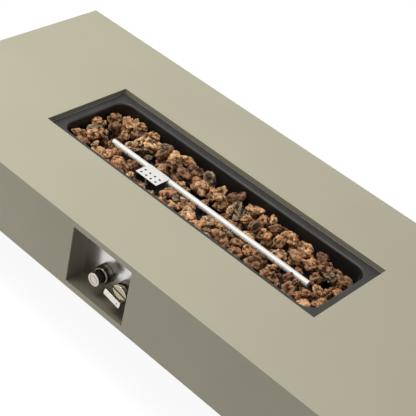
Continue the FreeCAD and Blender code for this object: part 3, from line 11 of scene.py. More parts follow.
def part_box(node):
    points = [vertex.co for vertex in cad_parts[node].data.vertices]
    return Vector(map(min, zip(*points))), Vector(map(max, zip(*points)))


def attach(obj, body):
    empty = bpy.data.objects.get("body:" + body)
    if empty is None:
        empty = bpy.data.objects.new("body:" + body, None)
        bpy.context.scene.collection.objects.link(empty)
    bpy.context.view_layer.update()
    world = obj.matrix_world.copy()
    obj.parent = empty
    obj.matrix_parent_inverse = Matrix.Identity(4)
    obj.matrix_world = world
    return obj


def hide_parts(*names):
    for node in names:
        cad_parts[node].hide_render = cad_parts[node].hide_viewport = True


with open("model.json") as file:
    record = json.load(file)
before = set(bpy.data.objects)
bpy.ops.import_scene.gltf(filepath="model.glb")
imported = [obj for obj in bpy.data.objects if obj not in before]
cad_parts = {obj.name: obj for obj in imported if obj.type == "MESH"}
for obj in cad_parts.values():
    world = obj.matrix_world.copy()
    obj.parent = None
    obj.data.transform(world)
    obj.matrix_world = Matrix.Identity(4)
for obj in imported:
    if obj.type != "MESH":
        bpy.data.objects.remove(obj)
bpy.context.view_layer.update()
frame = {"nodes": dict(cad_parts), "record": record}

# A low fire pit table: stone grey body, sunk burner tray with lava rocks, gas controls in a niche.
# Everything is in metres, in the frame of the CAD model.

# Camera, with its angles in degrees
CAMERA_PLACE = (1.5241, -2.1604, 2.3328)
CAMERA_AZIMUTH = 35.10
CAMERA_ELEVATION = 36.55
CAMERA_ROLL = 13.48
CAMERA_LENS = 103.22
CAMERA_REACH = 200.0
UPRIGHT = 90.0

# Light
SKY_STRENGTH = 0.21
SKY_COLOR = (0.93, 0.97, 1.0, 1.0)
LAMP_PLACE = (-1.3, -0.9, 4.15)
LAMP_TARGET = (0.0, 0.0, 0.4)
LAMP_SIZE = 2.4
LAMP_POWER = 140.0
LAMP_COLOR = (1.0, 0.975, 0.94)
WHITE = (1.0, 1.0, 1.0, 1.0)

# Floor: how pale it is seen, how much of the shadow shows, and how much light it returns
FLOOR_SEEN = 0.93
FLOOR_SHADOW = 0.12
FLOOR_BOUNCE = 0.65
FLOOR_HALF_SIZE = 40.0
FLOOR_CELLS = 8

# Finishes, as linear colours
COAT = (0.505, 0.478, 0.360, 1.0)
# Painted shade: the niche liner is the body's coat made darker, for the shade inside the niche
SHADED_NICHE_COAT = (0.195, 0.178, 0.130, 1.0)
DARK_COAT = (0.085, 0.083, 0.078, 1.0)
# Painted shade: the fold round the tray's cut-out is the body's coat made darker, for the shade in that
# recess
SHADED_FOLD_COAT = (0.350, 0.325, 0.225, 1.0)
TRAY_BLACK = (0.037, 0.036, 0.034, 1.0)
# Painted shade: the pan's inside is a darker black than its flange, for the shade inside the pan
SHADED_PAN_BLACK = (0.017, 0.015, 0.013, 1.0)
STEEL = (0.80, 0.79, 0.76, 1.0)
BRIGHT_STEEL = (0.86, 0.855, 0.82, 1.0)
# Painted shade: dark steel for the parts under the hood and the tube, for the shade among the rocks
SHADE_DARK_STEEL = (0.11, 0.10, 0.09, 1.0)
# Painted shade: black inside the burner tube and under the hood, so the ports and holes read dark
SHADE_BLACK = (0.010, 0.009, 0.008, 1.0)
PLATE_STEEL = (0.74, 0.71, 0.70, 1.0)
# Painted reflection: the bells' chrome is made dark, for the dark niche it reflects
BELL_CHROME_DARK_REFLECTION = (0.19, 0.175, 0.145, 1.0)
# Painted reflection: the knob's chrome is tinted cream, for the warm coat it reflects
KNOB_CHROME_WARM_REFLECTION = (0.66, 0.61, 0.50, 1.0)
# Painted shadow: black on the foot of the grip, for the shadow in the joint; the pointer mark on the dial
# uses it too
SHADOW_AND_POINTER_BLACK = (0.012, 0.011, 0.010, 1.0)
# Painted shade: the cap's sunk ring is a darker silver, for the shade in the groove
SHADED_RING_SILVER = (0.40, 0.365, 0.32, 1.0)
ALUMINIUM = (0.62, 0.62, 0.63, 1.0)
FACE_SILVER = (0.74, 0.71, 0.66, 1.0)
CAP_SILVER = (0.60, 0.55, 0.49, 1.0)
ZINC = (0.55, 0.55, 0.53, 1.0)
BRASS = (0.68, 0.50, 0.24, 1.0)
COPPER = (0.70, 0.36, 0.22, 1.0)
BLACK_PLASTIC = (0.007, 0.007, 0.007, 1.0)
CERAMIC = (0.82, 0.80, 0.74, 1.0)
RUBBER = (0.05, 0.05, 0.05, 1.0)
SLEEVE = (0.10, 0.11, 0.13, 1.0)

# Lava: tones of single rocks by a share from 0 to 1, and the tones of their details: a painted highlight
# on crests, painted shade in hollows and pits, and darker grains
ROCK_TONES = (
    (0.00, (0.180, 0.092, 0.052, 1.0)),
    (0.22, (0.370, 0.185, 0.092, 1.0)),
    (0.48, (0.600, 0.305, 0.145, 1.0)),
    (0.72, (0.800, 0.425, 0.200, 1.0)),
    (0.92, (0.900, 0.560, 0.300, 1.0)),
    (0.94, (0.360, 0.280, 0.180, 1.0)),
    (1.00, (0.260, 0.205, 0.130, 1.0)),
)
LAVA = (0.3, 0.15, 0.085, 1.0)
CREST_HIGHLIGHT_TONE = (0.88, 0.54, 0.32, 1.0)
HOLLOW_SHADE_TONE = (0.024, 0.009, 0.004, 1.0)
# Painted shade: the tone of the pits
PIT_SHADE_TONE = (0.030, 0.014, 0.007, 1.0)
GRAIN_TONE = (0.060, 0.032, 0.018, 1.0)

# Edges of the CAD pieces: angles in degrees, and the radius of each piece's edges
EDGE_SEGMENTS = 3
ROUND_PROFILE = 0.5
EDGE_LEAST_TURN = 30.0
SHARP_ANGLE = 40.0
FLAT_ANGLE = 0.5
SAME_CORNER = 1e-6
AT_EDGE = 1e-5
UPRIGHT_LENGTH = 0.1
FLAT_FACE_WEIGHT = 80
EDGE_RADIUS = {
    "top_panel": 0.0013,
    "front_panel": 0.0012,
    "back_panel": 0.0012,
    "left_end_panel": 0.0012,
    "right_end_panel": 0.0012,
    "leg_left": 0.0015,
    "leg_right": 0.0015,
    "bottom_cover": 0.0,
    "service_hatch": 0.0006,
    "panel_screws": 0.0005,
    "leg_bolts": 0.0006,
    "foot_front_left": 0.0006,
    "foot_front_right": 0.0006,
    "foot_back_left": 0.0006,
    "foot_back_right": 0.0006,
    "burner_tray": 0.0,
    "burner_tube": 0.0,
    "burner_end_plugs": 0.0004,
    "burner_saddles": 0.0003,
    "pilot_bracket": 0.0003,
    "pilot_burner": 0.0003,
    "thermocouple": 0.0003,
    "ignition_electrode": 0.0003,
    "pilot_hood": 0.0003,
    "niche_liner": 0.0,
    "control_plate": 0.0,
    "igniter_bezel": 0.0007,
    "valve_bezel": 0.0007,
    "igniter_barrel": 0.0,
    "igniter_plunger": 0.0003,
    "igniter_cap": 0.0003,
    "knob_skirt": 0.0004,
    "knob_grip": 0.0,
    "knob_face": 0.0,
    "valve_nut": 0.0004,
    "inlet_bulkhead": 0.0003,
    "inlet_nut": 0.0004,
}

# Places that are painted apart from the rest of their piece
FOLD_HALF_X = 0.4995
FOLD_HALF_Y = 0.1545
FOLD_DEPTH = 0.0005
PAINT_MARGIN = 0.0005
SKIN = 0.0002
TUBE_END = 0.001
HOOD_SHEET = 0.0015
HOOD_RIM = 0.003
HOOD_TOP_SKIN = 0.0003
RING_INNER = 0.0095
RING_OUTER = 0.0145
RING_DEPTH = 0.0015
SHADOW_SEAM_HEIGHT = 0.0022
POINTER_TURN = math.radians(-10.0)
POINTER_REACH = 0.0199
POINTER_RADIUS = 0.0027
POINTER_DEPTH = 0.0012

# Inside of the pan, and what stands in it
PAN_HALF_X = 0.4698
PAN_HALF_Y = 0.1248
PAN_CORNER = 0.040
PAN_FLOOR = 0.335
PAN_ROLL = 0.006
SADDLE_X = 0.300
SADDLE_HALF_X = 0.0155
SADDLE_HALF_Y = 0.0145
MIXER_REACH = 0.021
TUBE_GAP = 0.001
TUBE_END_GAP = 0.003
HOOD_GAP_LEFT = 0.001
HOOD_GAP = 0.002

# Rock bed: each layer is the share at which it ends and its least and most half length
ROCK_SEED = 11
ROCK_COUNT = 560
ROCK_TRIES = 40
ROCK_LAYERS = ((0.66, 0.0250, 0.0345), (0.88, 0.0190, 0.0240), (1.01, 0.0120, 0.0160))
ROCK_PROUD = (0.30, 0.66)
ROCK_CEILING = 0.3830
ROCK_CEILING_BACK = 0.4020
ROCK_BACK_FROM = 0.030
ROCK_LEFT_GAP = 0.010
ROCK_FINE_ABOVE = 0.352
ROCK_CELL = 0.004
SPARE_CELLS = 3
ROCK_NESTING = 96
WALL_MARGIN = 0.0015
BLOCKED = 10.0
COARSE = 3
FINE = 4

# Form of a rock: one main ball with knobs, stretched, tilted and roughened.
# A noise is given as the power, step and number of its octaves.
MAIN_BALL = 0.74
KNOB_COUNTS = (2, 3, 3, 4, 5)
KNOB_SPREAD = (1.0, 0.6, 0.45)
KNOB_DISTANCE = (0.30, 0.62)
KNOB_RADIUS = (0.34, 0.60)
JOINT_POWER = 7
ROCK_WIDTH = (0.70, 0.96)
ROCK_HEIGHT = (0.58, 0.80)
ROCK_TILT = 0.45
ROCK_ROUGHNESS = (0.85, 1.35)
ROCK_SALT = 50
NOISE_SCALE = 1.5
CRACK_SCALE = 1.7
FINE_SCALE = 3.4
SHARP_SCALE = 2.3
BROAD_NOISE = (1.0, 2.0, 2)
FINE_NOISE = (0.9, 2.1, 3)
BROAD_HEIGHT = 0.28
CRACK_HEIGHT = 0.20
FINE_HEIGHT = 0.06
SHARP_HEIGHT = 0.10
MIDDLE_HEIGHT = 0.3
ROCK_RELIEF = 0.30
STAND_GAIN = 3.2
HALFWAY = 0.5


# Material helpers

# A colour mix node's sockets for its share and its two colours, and the one for its result
MIX_INPUTS = (0, 6, 7)
MIX_RESULT = 2

# How many brush lines to a metre, along the brushing and across it
BRUSH_ALONG = 14.0
BRUSH_ACROSS = 1600.0


def add(tree, kind, inputs=None, **settings):
    """A shader node with its settings, and its inputs as values or links."""
    node = tree.nodes.new(kind)
    for key, value in settings.items():
        setattr(node, key, value)
    for name, value in (inputs or {}).items():
        if isinstance(value, bpy.types.NodeSocket):
            tree.links.new(value, node.inputs[name])
        else:
            node.inputs[name].default_value = value
    return node


def begin(name, color, roughness, metallic=0.0, **more):
    """A new material: its node tree, its shader, and object coordinates in metres."""
    material = bpy.data.materials.new(name)
    material.use_nodes = True
    material.diffuse_color = color
    tree = material.node_tree
    shader = tree.nodes["Principled BSDF"]
    values = {"Base Color": color, "Metallic": metallic, "Roughness": roughness, **more}
    for key, value in values.items():
        shader.inputs[key].default_value = value
    place = add(tree, "ShaderNodeTexCoord").outputs["Object"]
    return material, tree, shader, place


def noise_at(tree, place, scale, detail, roughness=0.5):
    """Noise between about 0.3 and 0.7; its scale is in features per metre."""
    inputs = {"Vector": place, "Scale": scale, "Detail": detail, "Roughness": roughness}
    return add(tree, "ShaderNodeTexNoise", inputs).outputs["Fac"]


def stretched(tree, place, scale):
    """Coordinates squeezed by a factor on each axis."""
    return add(tree, "ShaderNodeMapping", {"Vector": place, "Scale": scale}).outputs["Vector"]


def spread(tree, value, low, high, from_low=0.3, from_high=0.7):
    """Maps a noise value to a range."""
    inputs = {"Value": value, "From Min": from_low, "From Max": from_high, "To Min": low, "To Max": high}
    return add(tree, "ShaderNodeMapRange", inputs).outputs["Result"]


def between(tree, share, first, second):
    """Mixes two colours by a share."""
    node = tree.nodes.new("ShaderNodeMix")
    node.data_type = "RGBA"
    for index, value in zip(MIX_INPUTS, (share, first, second)):
        if isinstance(value, bpy.types.NodeSocket):
            tree.links.new(value, node.inputs[index])
        else:
            node.inputs[index].default_value = value
    return node.outputs[MIX_RESULT]


def adjusted(tree, color, value, saturation):
    """A linked colour made lighter or darker, and stronger or weaker."""
    inputs = {"Color": color, "Value": value, "Saturation": saturation}
    return add(tree, "ShaderNodeHueSaturation", inputs).outputs["Color"]


def bumped(tree, shader, height, strength, distance):
    """Adds a bump on top of any that the shader has."""
    inputs = {"Height": height, "Strength": strength, "Distance": distance}
    if shader.inputs["Normal"].is_linked:
        inputs["Normal"] = shader.inputs["Normal"].links[0].from_socket
    node = add(tree, "ShaderNodeBump", inputs)
    tree.links.new(node.outputs["Normal"], shader.inputs["Normal"])


def glossed(tree, shader, value, low, high):
    """Lets the roughness follow a noise value."""
    tree.links.new(spread(tree, value, low=low, high=high), shader.inputs["Roughness"])


def tinted(color, factor):
    return tuple(channel * factor for channel in color[:3]) + (1.0,)


def powder_coat(name, color, roughness=0.5):
    """Fine textured paint: a sandy grain, faint clouds, and a sheen that varies a little."""
    shine = {"Specular IOR Level": 0.35}
    material, tree, shader, place = begin(name, color, roughness=roughness, **shine)
    clouds = spread(tree, noise_at(tree, place, scale=2.4, detail=3.0), low=0.0, high=1.0)
    tone = between(tree, clouds, tinted(color, 0.965), tinted(color, 1.02))
    grain = noise_at(tree, place, scale=900.0, detail=1.0)
    specks = spread(tree, grain, low=0.0, high=1.0, from_low=0.62, from_high=0.75)
    tree.links.new(between(tree, specks, tone, tinted(color, 0.86)), shader.inputs["Base Color"])
    sheen = noise_at(tree, place, scale=14.0, detail=4.0)
    glossed(tree, shader, sheen, low=roughness - 0.05, high=roughness + 0.06)
    skin = noise_at(tree, place, scale=1300.0, detail=2.0, roughness=0.6)
    bumped(tree, shader, skin, strength=0.22, distance=0.0002)
    return material


def brushed(name, color, along, roughness, grain=0.10):
    """Metal brushed along one axis."""
    material, tree, shader, place = begin(name, color, metallic=1.0, roughness=roughness)
    scale = tuple(BRUSH_ALONG if axis == along else BRUSH_ACROSS for axis in range(3))
    lines = noise_at(tree, stretched(tree, place, scale), scale=1.0, detail=3.0, roughness=0.7)
    tone = between(tree, spread(tree, lines, low=0.0, high=1.0), tinted(color, 0.90), tinted(color, 1.05))
    smears = noise_at(tree, place, scale=35.0, detail=3.0)
    shade = between(tree, spread(tree, smears, low=0.0, high=1.0), tone, tinted(color, 0.94))
    tree.links.new(shade, shader.inputs["Base Color"])
    glossed(tree, shader, lines, low=roughness - 0.06, high=roughness + 0.10)
    bumped(tree, shader, lines, strength=grain, distance=0.0001)
    return material


def polished(name, color, roughness):
    """Bright plated metal with faint smears and slight waves."""
    material, tree, shader, place = begin(name, color, metallic=1.0, roughness=roughness)
    smears = noise_at(tree, place, scale=90.0, detail=4.0)
    glossed(tree, shader, smears, low=roughness * 0.7, high=roughness * 2.2)
    bumped(tree, shader, noise_at(tree, place, scale=220.0, detail=2.0), strength=0.03, distance=0.0002)
    return material


def cast_metal(name, color, roughness, metallic=1.0, mottle=0.85):
    """Machined or plated metal with a slightly uneven tone."""
    material, tree, shader, place = begin(name, color, metallic=metallic, roughness=roughness)
    patches = spread(tree, noise_at(tree, place, scale=120.0, detail=4.0), low=0.0, high=1.0)
    tree.links.new(between(tree, patches, tinted(color, mottle), color), shader.inputs["Base Color"])
    sheen = noise_at(tree, place, scale=60.0, detail=3.0)
    glossed(tree, shader, sheen, low=roughness - 0.08, high=roughness + 0.10)
    bumped(tree, shader, noise_at(tree, place, scale=1500.0, detail=2.0), strength=0.08, distance=0.0001)
    return material


def moulded(name, color, roughness, grain=700.0):
    """Plastic, rubber or ceramic with a fine skin, and the black used for painted shade and a painted
    shadow.
    """
    material, tree, shader, place = begin(name, color, roughness=roughness)
    worn = spread(tree, noise_at(tree, place, scale=45.0, detail=4.0), low=0.0, high=1.0)
    tree.links.new(between(tree, worn, color, tinted(color, 1.25)), shader.inputs["Base Color"])
    sheen = noise_at(tree, place, scale=30.0, detail=3.0)
    glossed(tree, shader, sheen, low=roughness - 0.07, high=roughness + 0.08)
    bumped(tree, shader, noise_at(tree, place, scale=grain, detail=2.0), strength=0.12, distance=0.0002)
    return material


def stove_enamel(name, color):
    """Black heat proof coat with a soft sheen and a little dust."""
    material, tree, shader, place = begin(name, color, roughness=0.45, **{"Specular IOR Level": 0.30})
    clouds = noise_at(tree, place, scale=26.0, detail=5.0, roughness=0.65)
    dust = spread(tree, clouds, low=0.0, high=0.55, from_low=0.42, from_high=0.72)
    tree.links.new(between(tree, dust, color, tinted(color, 1.7)), shader.inputs["Base Color"])
    glossed(tree, shader, noise_at(tree, place, scale=18.0, detail=4.0), low=0.36, high=0.52)
    bumped(tree, shader, noise_at(tree, place, scale=800.0, detail=2.0), strength=0.15, distance=0.0002)
    return material


def tone_ramp(tree, share, tones):
    """A colour picked along a row of tones."""
    ramp = add(tree, "ShaderNodeValToRGB", {"Fac": share})
    ends = ramp.color_ramp.elements
    for end, (position, color) in ((ends[0], tones[0]), (ends[1], tones[-1])):
        end.position = position
        end.color = color
    for position, color in tones[1:-1]:
        ends.new(position).color = color
    return ramp.outputs["Color"]


def lava_stone(name):
    """Porous lava: each rock has its own tone, with a painted highlight on its crests and painted shade
    in its hollows and small pits.
    """
    material, tree, shader, place = begin(name, LAVA, roughness=0.88, **{"Specular IOR Level": 0.2})
    looks = add(tree, "ShaderNodeAttribute", attribute_name="rock_look").outputs["Color"]
    parts = add(tree, "ShaderNodeSeparateColor", {"Color": looks})
    stands = parts.outputs["Green"]
    tone = tone_ramp(tree, parts.outputs["Red"], ROCK_TONES)
    clouds = noise_at(tree, place, scale=60.0, detail=5.0, roughness=0.65)
    patches = spread(tree, clouds, low=0.0, high=1.0, from_low=0.38, from_high=0.62)
    dark = adjusted(tree, tone, value=0.30, saturation=1.08)
    light = adjusted(tree, tone, value=1.74, saturation=0.97)
    tone = between(tree, patches, dark, light)
    # Painted highlight: corners that stand out are lightened
    crest_highlight = spread(tree, stands, low=0.0, high=0.34, from_low=0.5, from_high=1.0)
    tone = between(tree, crest_highlight, tone, CREST_HIGHLIGHT_TONE)
    # Painted shade: corners that lie deep are darkened
    hollow_shade = spread(tree, stands, low=0.88, high=0.0, from_low=0.05, from_high=0.45)
    tone = between(tree, hollow_shade, tone, HOLLOW_SHADE_TONE)
    pits = add(tree, "ShaderNodeTexVoronoi", {"Vector": place, "Scale": 130.0, "Randomness": 1.0})
    pits = pits.outputs["Distance"]
    # Painted shade: the pits are darkened as well as bumped
    pit_shade = spread(tree, pits, low=0.80, high=0.0, from_low=0.10, from_high=0.24)
    tone = between(tree, pit_shade, tone, PIT_SHADE_TONE)
    sand = noise_at(tree, place, scale=520.0, detail=3.0, roughness=0.7)
    grains = spread(tree, sand, low=0.0, high=0.28, from_low=0.45, from_high=0.75)
    tone = between(tree, grains, tone, GRAIN_TONE)
    tree.links.new(tone, shader.inputs["Base Color"])
    pores = noise_at(tree, place, scale=170.0, detail=6.0, roughness=0.75)
    bumped(tree, shader, pores, strength=1.0, distance=0.0034)
    bumped(tree, shader, pits, strength=0.9, distance=0.0026)
    return material


ALONG_X = 0
ALONG_Y = 1
MATERIALS = {
    "body_coat": powder_coat("stone_grey_coat", COAT),
    # The niche liner gets the darker copy of the body's coat: painted shade
    "niche_coat": powder_coat("niche_coat", SHADED_NICHE_COAT),
    "leg_coat": powder_coat("leg_coat", COAT),
    "galvanised_sheet": powder_coat("underside_coat", DARK_COAT, roughness=0.55),
    "frame_aluminium": brushed("mill_aluminium", ALUMINIUM, ALONG_X, roughness=0.4),
    "zinc_fixings": cast_metal("bright_zinc", ZINC, roughness=0.35),
    "tray_enamel": stove_enamel("tray_enamel", TRAY_BLACK),
    "burner_steel": cast_metal("burner_steel", BRIGHT_STEEL, roughness=0.45, metallic=0.12, mottle=0.96),
    "hood_steel": brushed("hood_steel", STEEL, ALONG_X, roughness=0.34),
    "electrode_ceramic": moulded("electrode_ceramic", CERAMIC, roughness=0.3),
    "lava": lava_stone("lava_stone"),
    "plate_steel": brushed("control_plate_steel", PLATE_STEEL, ALONG_X, roughness=0.20, grain=0.06),
    # Painted reflection: darkened chrome on the bells
    "bezel_chrome": polished("bell_chrome_dark_reflection", BELL_CHROME_DARK_REFLECTION, roughness=0.09),
    "igniter_plastic": moulded("igniter_plastic", BLACK_PLASTIC, roughness=0.30),
    "battery_case": moulded("battery_sleeve", SLEEVE, roughness=0.35),
    "valve_brass": cast_metal("machined_brass", BRASS, roughness=0.30),
    "spindle_steel": brushed("spindle_steel", STEEL, ALONG_Y, roughness=0.30),
    # Painted reflection: cream-tinted chrome on the knob
    "knob_chrome": polished("knob_chrome", KNOB_CHROME_WARM_REFLECTION, roughness=0.07),
    "cap_metal": brushed("cap_silver", CAP_SILVER, ALONG_X, roughness=0.30, grain=0.05),
    "knob_metal": brushed("knob_silver", FACE_SILVER, ALONG_X, roughness=0.24, grain=0.05),
    "gas_pipe": cast_metal("drawn_copper", COPPER, roughness=0.28),
    "pilot_pipe": cast_metal("soft_aluminium_pipe", ALUMINIUM, roughness=0.35),
    "lead_rubber": moulded("silicone_sleeve", RUBBER, roughness=0.55),
    "foot_plastic": moulded("foot_nylon", BLACK_PLASTIC, roughness=0.5, grain=500.0),
}
# Painted shade on the fold round the cut-out
SHADED_FOLD_PAINT = powder_coat("shaded_fold_coat", SHADED_FOLD_COAT)
# Painted shade inside the pan
SHADED_PAN_ENAMEL = stove_enamel("shaded_pan_enamel", SHADED_PAN_BLACK)
# Painted shade on the pilot parts, saddles and mixer
SHADED_STEEL = cast_metal("shaded_steel", SHADE_DARK_STEEL, roughness=0.55, mottle=0.6)
# Painted shade: black for the inside of the tube and the underside of the hood
PAINTED_SHADE = moulded("painted_shade_black", SHADE_BLACK, roughness=0.7)
# Painted shade in the cap's ring
SHADED_RING = cast_metal("shaded_ring_silver", SHADED_RING_SILVER, roughness=0.4)
# Painted shadow at the grip's foot, and the pointer mark
SHADOW_AND_POINTER = moulded("shadow_and_pointer_black", SHADOW_AND_POINTER_BLACK, roughness=0.6)
# Parts given the dark steel of painted shade
SHADED_NODES = {
    "mixer_tube", "mixer_lock_nut", "burner_saddles", "pilot_bracket", "pilot_burner", "thermocouple",
}
SLOT_OF = {row["node"]: row["material_slot"] for row in frame["record"]["subparts"]}
BODY_OF = {node: body for body, nodes in frame["record"]["behaviour"]["bodies"].items() for node in nodes}


def finish_of(node):
    return SHADED_STEEL if node in SHADED_NODES else MATERIALS[SLOT_OF[node]]


for node, thing in frame["nodes"].items():
    if not thing.material_slots:
        thing.data.materials.append(finish_of(node))
    for entry in thing.material_slots:
        entry.material = finish_of(node)


# Mesh helpers

def place_piece(name, mesh, node):
    """A finished piece that stands for a CAD node and moves with its body."""
    piece = bpy.data.objects.new(name, mesh)
    bpy.context.scene.collection.objects.link(piece)
    mesh.materials.append(finish_of(node))
    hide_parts(node)
    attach(piece, BODY_OF[node])
    return piece


def tidy_mesh(node):
    """The CAD node's faces with shared corners and no needless edges."""
    form = bmesh.new()
    form.from_mesh(frame["nodes"][node].data)
    bmesh.ops.remove_doubles(form, verts=form.verts, dist=SAME_CORNER)
    bmesh.ops.dissolve_limit(form, verts=form.verts, edges=form.edges, use_dissolve_boundaries=False,
                             angle_limit=math.radians(FLAT_ANGLE))
    return form


def settled(piece):
    """Smooth shading with crisp edges, and flat faces kept flat."""
    for face in piece.data.polygons:
        face.use_smooth = True
    piece.data.set_sharp_from_angle(angle=math.radians(SHARP_ANGLE))
    weigh = piece.modifiers.new("weigh", "WEIGHTED_NORMAL")
    weigh.keep_sharp = True
    weigh.weight = FLAT_FACE_WEIGHT
    return piece


def softened(node, radius, chosen):
    """A copy of a CAD node with its convex edges rounded, or only those that are chosen."""
    form = tidy_mesh(node)
    edges = []
    for edge in form.edges:
        if len(edge.link_faces) != 2 or edge.calc_face_angle_signed(0.0) < math.radians(EDGE_LEAST_TURN):
            continue
        if chosen is None or chosen(edge.verts[0].co, edge.verts[1].co):
            edges.append(edge)
    if radius:
        bmesh.ops.bevel(form, geom=edges, affect="EDGES", offset=radius, segments=EDGE_SEGMENTS,
                        profile=ROUND_PROFILE, clamp_overlap=True)
    mesh = bpy.data.meshes.new(node + "_form")
    form.to_mesh(mesh)
    form.free()
    return settled(place_piece(node + "_finish", mesh, node))


def middle(node):
    low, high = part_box(node)
    return (Vector(low) + Vector(high)) / 2


def repainted(piece, material, chosen):
    """Gives a second material to the faces whose middles are chosen."""
    piece.data.materials.append(material)
    index = len(piece.data.materials) - 1
    for face in piece.data.polygons:
        if chosen(face.center):
            face.material_index = index


def sliced(piece, y):
    """Adds an edge loop round the piece at a distance along Y."""
    form = bmesh.new()
    form.from_mesh(piece.data)
    bmesh.ops.bisect_plane(form, geom=form.verts[:] + form.edges[:] + form.faces[:], plane_co=(0, y, 0),
                           plane_no=(0, 1, 0))
    form.to_mesh(piece.data)
    form.free()


# Pieces with softened edges

BODY_X, BODY_Y, TOP_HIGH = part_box("top_panel")[1]
BODY_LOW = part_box("front_panel")[0].z


def at_top(a, b):
    return min(a.z, b.z) > TOP_HIGH - AT_EDGE


def end_foot(a, b):
    return max(a.z, b.z) < BODY_LOW + AT_EDGE and min(abs(a.x), abs(b.x)) > BODY_X - AT_EDGE


def outer_corner_or_foot(a, b):
    """The panel's outer upright corners and its outer bottom edge, not the joint under the top."""
    upright = abs(a.z - b.z) > UPRIGHT_LENGTH and min(abs(a.x), abs(b.x)) > BODY_X - AT_EDGE
    foot = max(a.z, b.z) < BODY_LOW + AT_EDGE and min(abs(a.y), abs(b.y)) > BODY_Y - AT_EDGE
    return upright or foot


CHOSEN_EDGES = {
    "top_panel": at_top,
    "front_panel": outer_corner_or_foot,
    "back_panel": outer_corner_or_foot,
    "left_end_panel": end_foot,
    "right_end_panel": end_foot,
}
PIECES = {node: softened(node, radius, CHOSEN_EDGES.get(node)) for node, radius in EDGE_RADIUS.items()}


# Places painted apart: painted shade on the fold, in the pan, inside the tube, under the hood and in the
# cap's ring; a painted shadow at the joint under the grip; the pointer

TRAY_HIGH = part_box("burner_tray")[1].z
TUBE_HALF, TUBE_RADIUS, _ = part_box("burner_tube")[1]
TUBE_Z = middle("burner_tube").z
HOOD_LOW, HOOD_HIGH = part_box("pilot_hood")
CAP_AXIS = middle("igniter_cap")
CAP_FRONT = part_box("igniter_cap")[0].y
GRIP_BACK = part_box("knob_grip")[1].y
DIAL_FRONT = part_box("knob_face")[0].y
POINTER_WAY = Vector((math.cos(POINTER_TURN), 0, math.sin(POINTER_TURN)))
POINTER = middle("knob_skirt") + POINTER_WAY * POINTER_REACH


def in_fold(p):
    return abs(p.x) < FOLD_HALF_X and abs(p.y) < FOLD_HALF_Y and p.z < TOP_HIGH - FOLD_DEPTH


def in_pan(p):
    within = abs(p.x) < PAN_HALF_X + PAINT_MARGIN and abs(p.y) < PAN_HALF_Y + PAINT_MARGIN
    return within and PAN_FLOOR - PAINT_MARGIN < p.z < TRAY_HIGH - PAN_ROLL


def in_tube(p):
    return math.hypot(p.y, p.z - TUBE_Z) < TUBE_RADIUS - SKIN and abs(p.x) < TUBE_HALF - TUBE_END


def under_hood(p):
    within_x = HOOD_LOW.x + HOOD_RIM < p.x < HOOD_HIGH.x - HOOD_RIM
    within_y = HOOD_LOW.y + HOOD_RIM < p.y < HOOD_HIGH.y - HOOD_RIM
    return within_x and within_y and HOOD_HIGH.z - HOOD_SHEET - SKIN < p.z < HOOD_HIGH.z - HOOD_TOP_SKIN


def in_ring(p):
    reach = math.hypot(p.x - CAP_AXIS.x, p.z - CAP_AXIS.z)
    return RING_INNER < reach < RING_OUTER and CAP_FRONT + SKIN < p.y < CAP_FRONT + RING_DEPTH


def in_shadow_seam(p):
    return p.y > GRIP_BACK - SHADOW_SEAM_HEIGHT


def in_pointer(p):
    reach = math.hypot(p.x - POINTER.x, p.z - POINTER.z)
    return reach < POINTER_RADIUS and DIAL_FRONT + SKIN < p.y < DIAL_FRONT + POINTER_DEPTH


# Painted shadow: the grip's foot is cut off and painted black, for the shadow in the joint under it
sliced(PIECES["knob_grip"], GRIP_BACK - SHADOW_SEAM_HEIGHT)
repainted(PIECES["top_panel"], SHADED_FOLD_PAINT, in_fold)
repainted(PIECES["burner_tray"], SHADED_PAN_ENAMEL, in_pan)
repainted(PIECES["burner_tube"], PAINTED_SHADE, in_tube)
repainted(PIECES["pilot_hood"], PAINTED_SHADE, under_hood)
repainted(PIECES["igniter_cap"], SHADED_RING, in_ring)
repainted(PIECES["knob_grip"], SHADOW_AND_POINTER, in_shadow_seam)
repainted(PIECES["knob_face"], SHADOW_AND_POINTER, in_pointer)


# Rock bed

def sphere_of(level):
    """Corner directions and triangles of an even ball."""
    form = bmesh.new()
    bmesh.ops.create_icosphere(form, subdivisions=level, radius=1.0)
    directions = np.array([vert.co[:] for vert in form.verts])
    triangles = np.array([[vert.index for vert in face.verts] for face in form.faces])
    form.free()
    return directions, triangles


BALLS = {level: sphere_of(level) for level in (COARSE, FINE)}


def lump_reach(directions, lumps):
    """How far each direction reaches in a group of overlapping balls, joined softly."""
    reach = np.zeros(len(directions))
    for centre, radius in lumps:
        along = directions @ centre
        inside = radius ** 2 - centre @ centre + along ** 2
        out = np.where(inside > 0, along + np.sqrt(np.maximum(inside, 0)), 0)
        reach += np.maximum(out, 0) ** JOINT_POWER
    return reach ** (1 / JOINT_POWER)


def rock_lumps(chance):
    """One main ball and a few knobs, mostly along one axis."""
    lumps = [(np.zeros(3), MAIN_BALL)]
    for _ in range(chance.choice(KNOB_COUNTS)):
        way = np.array([chance.gauss(0, width) for width in KNOB_SPREAD])
        way /= np.linalg.norm(way)
        distance = chance.uniform(*KNOB_DISTANCE)
        lumps.append((way * distance, chance.uniform(*KNOB_RADIUS)))
    return lumps


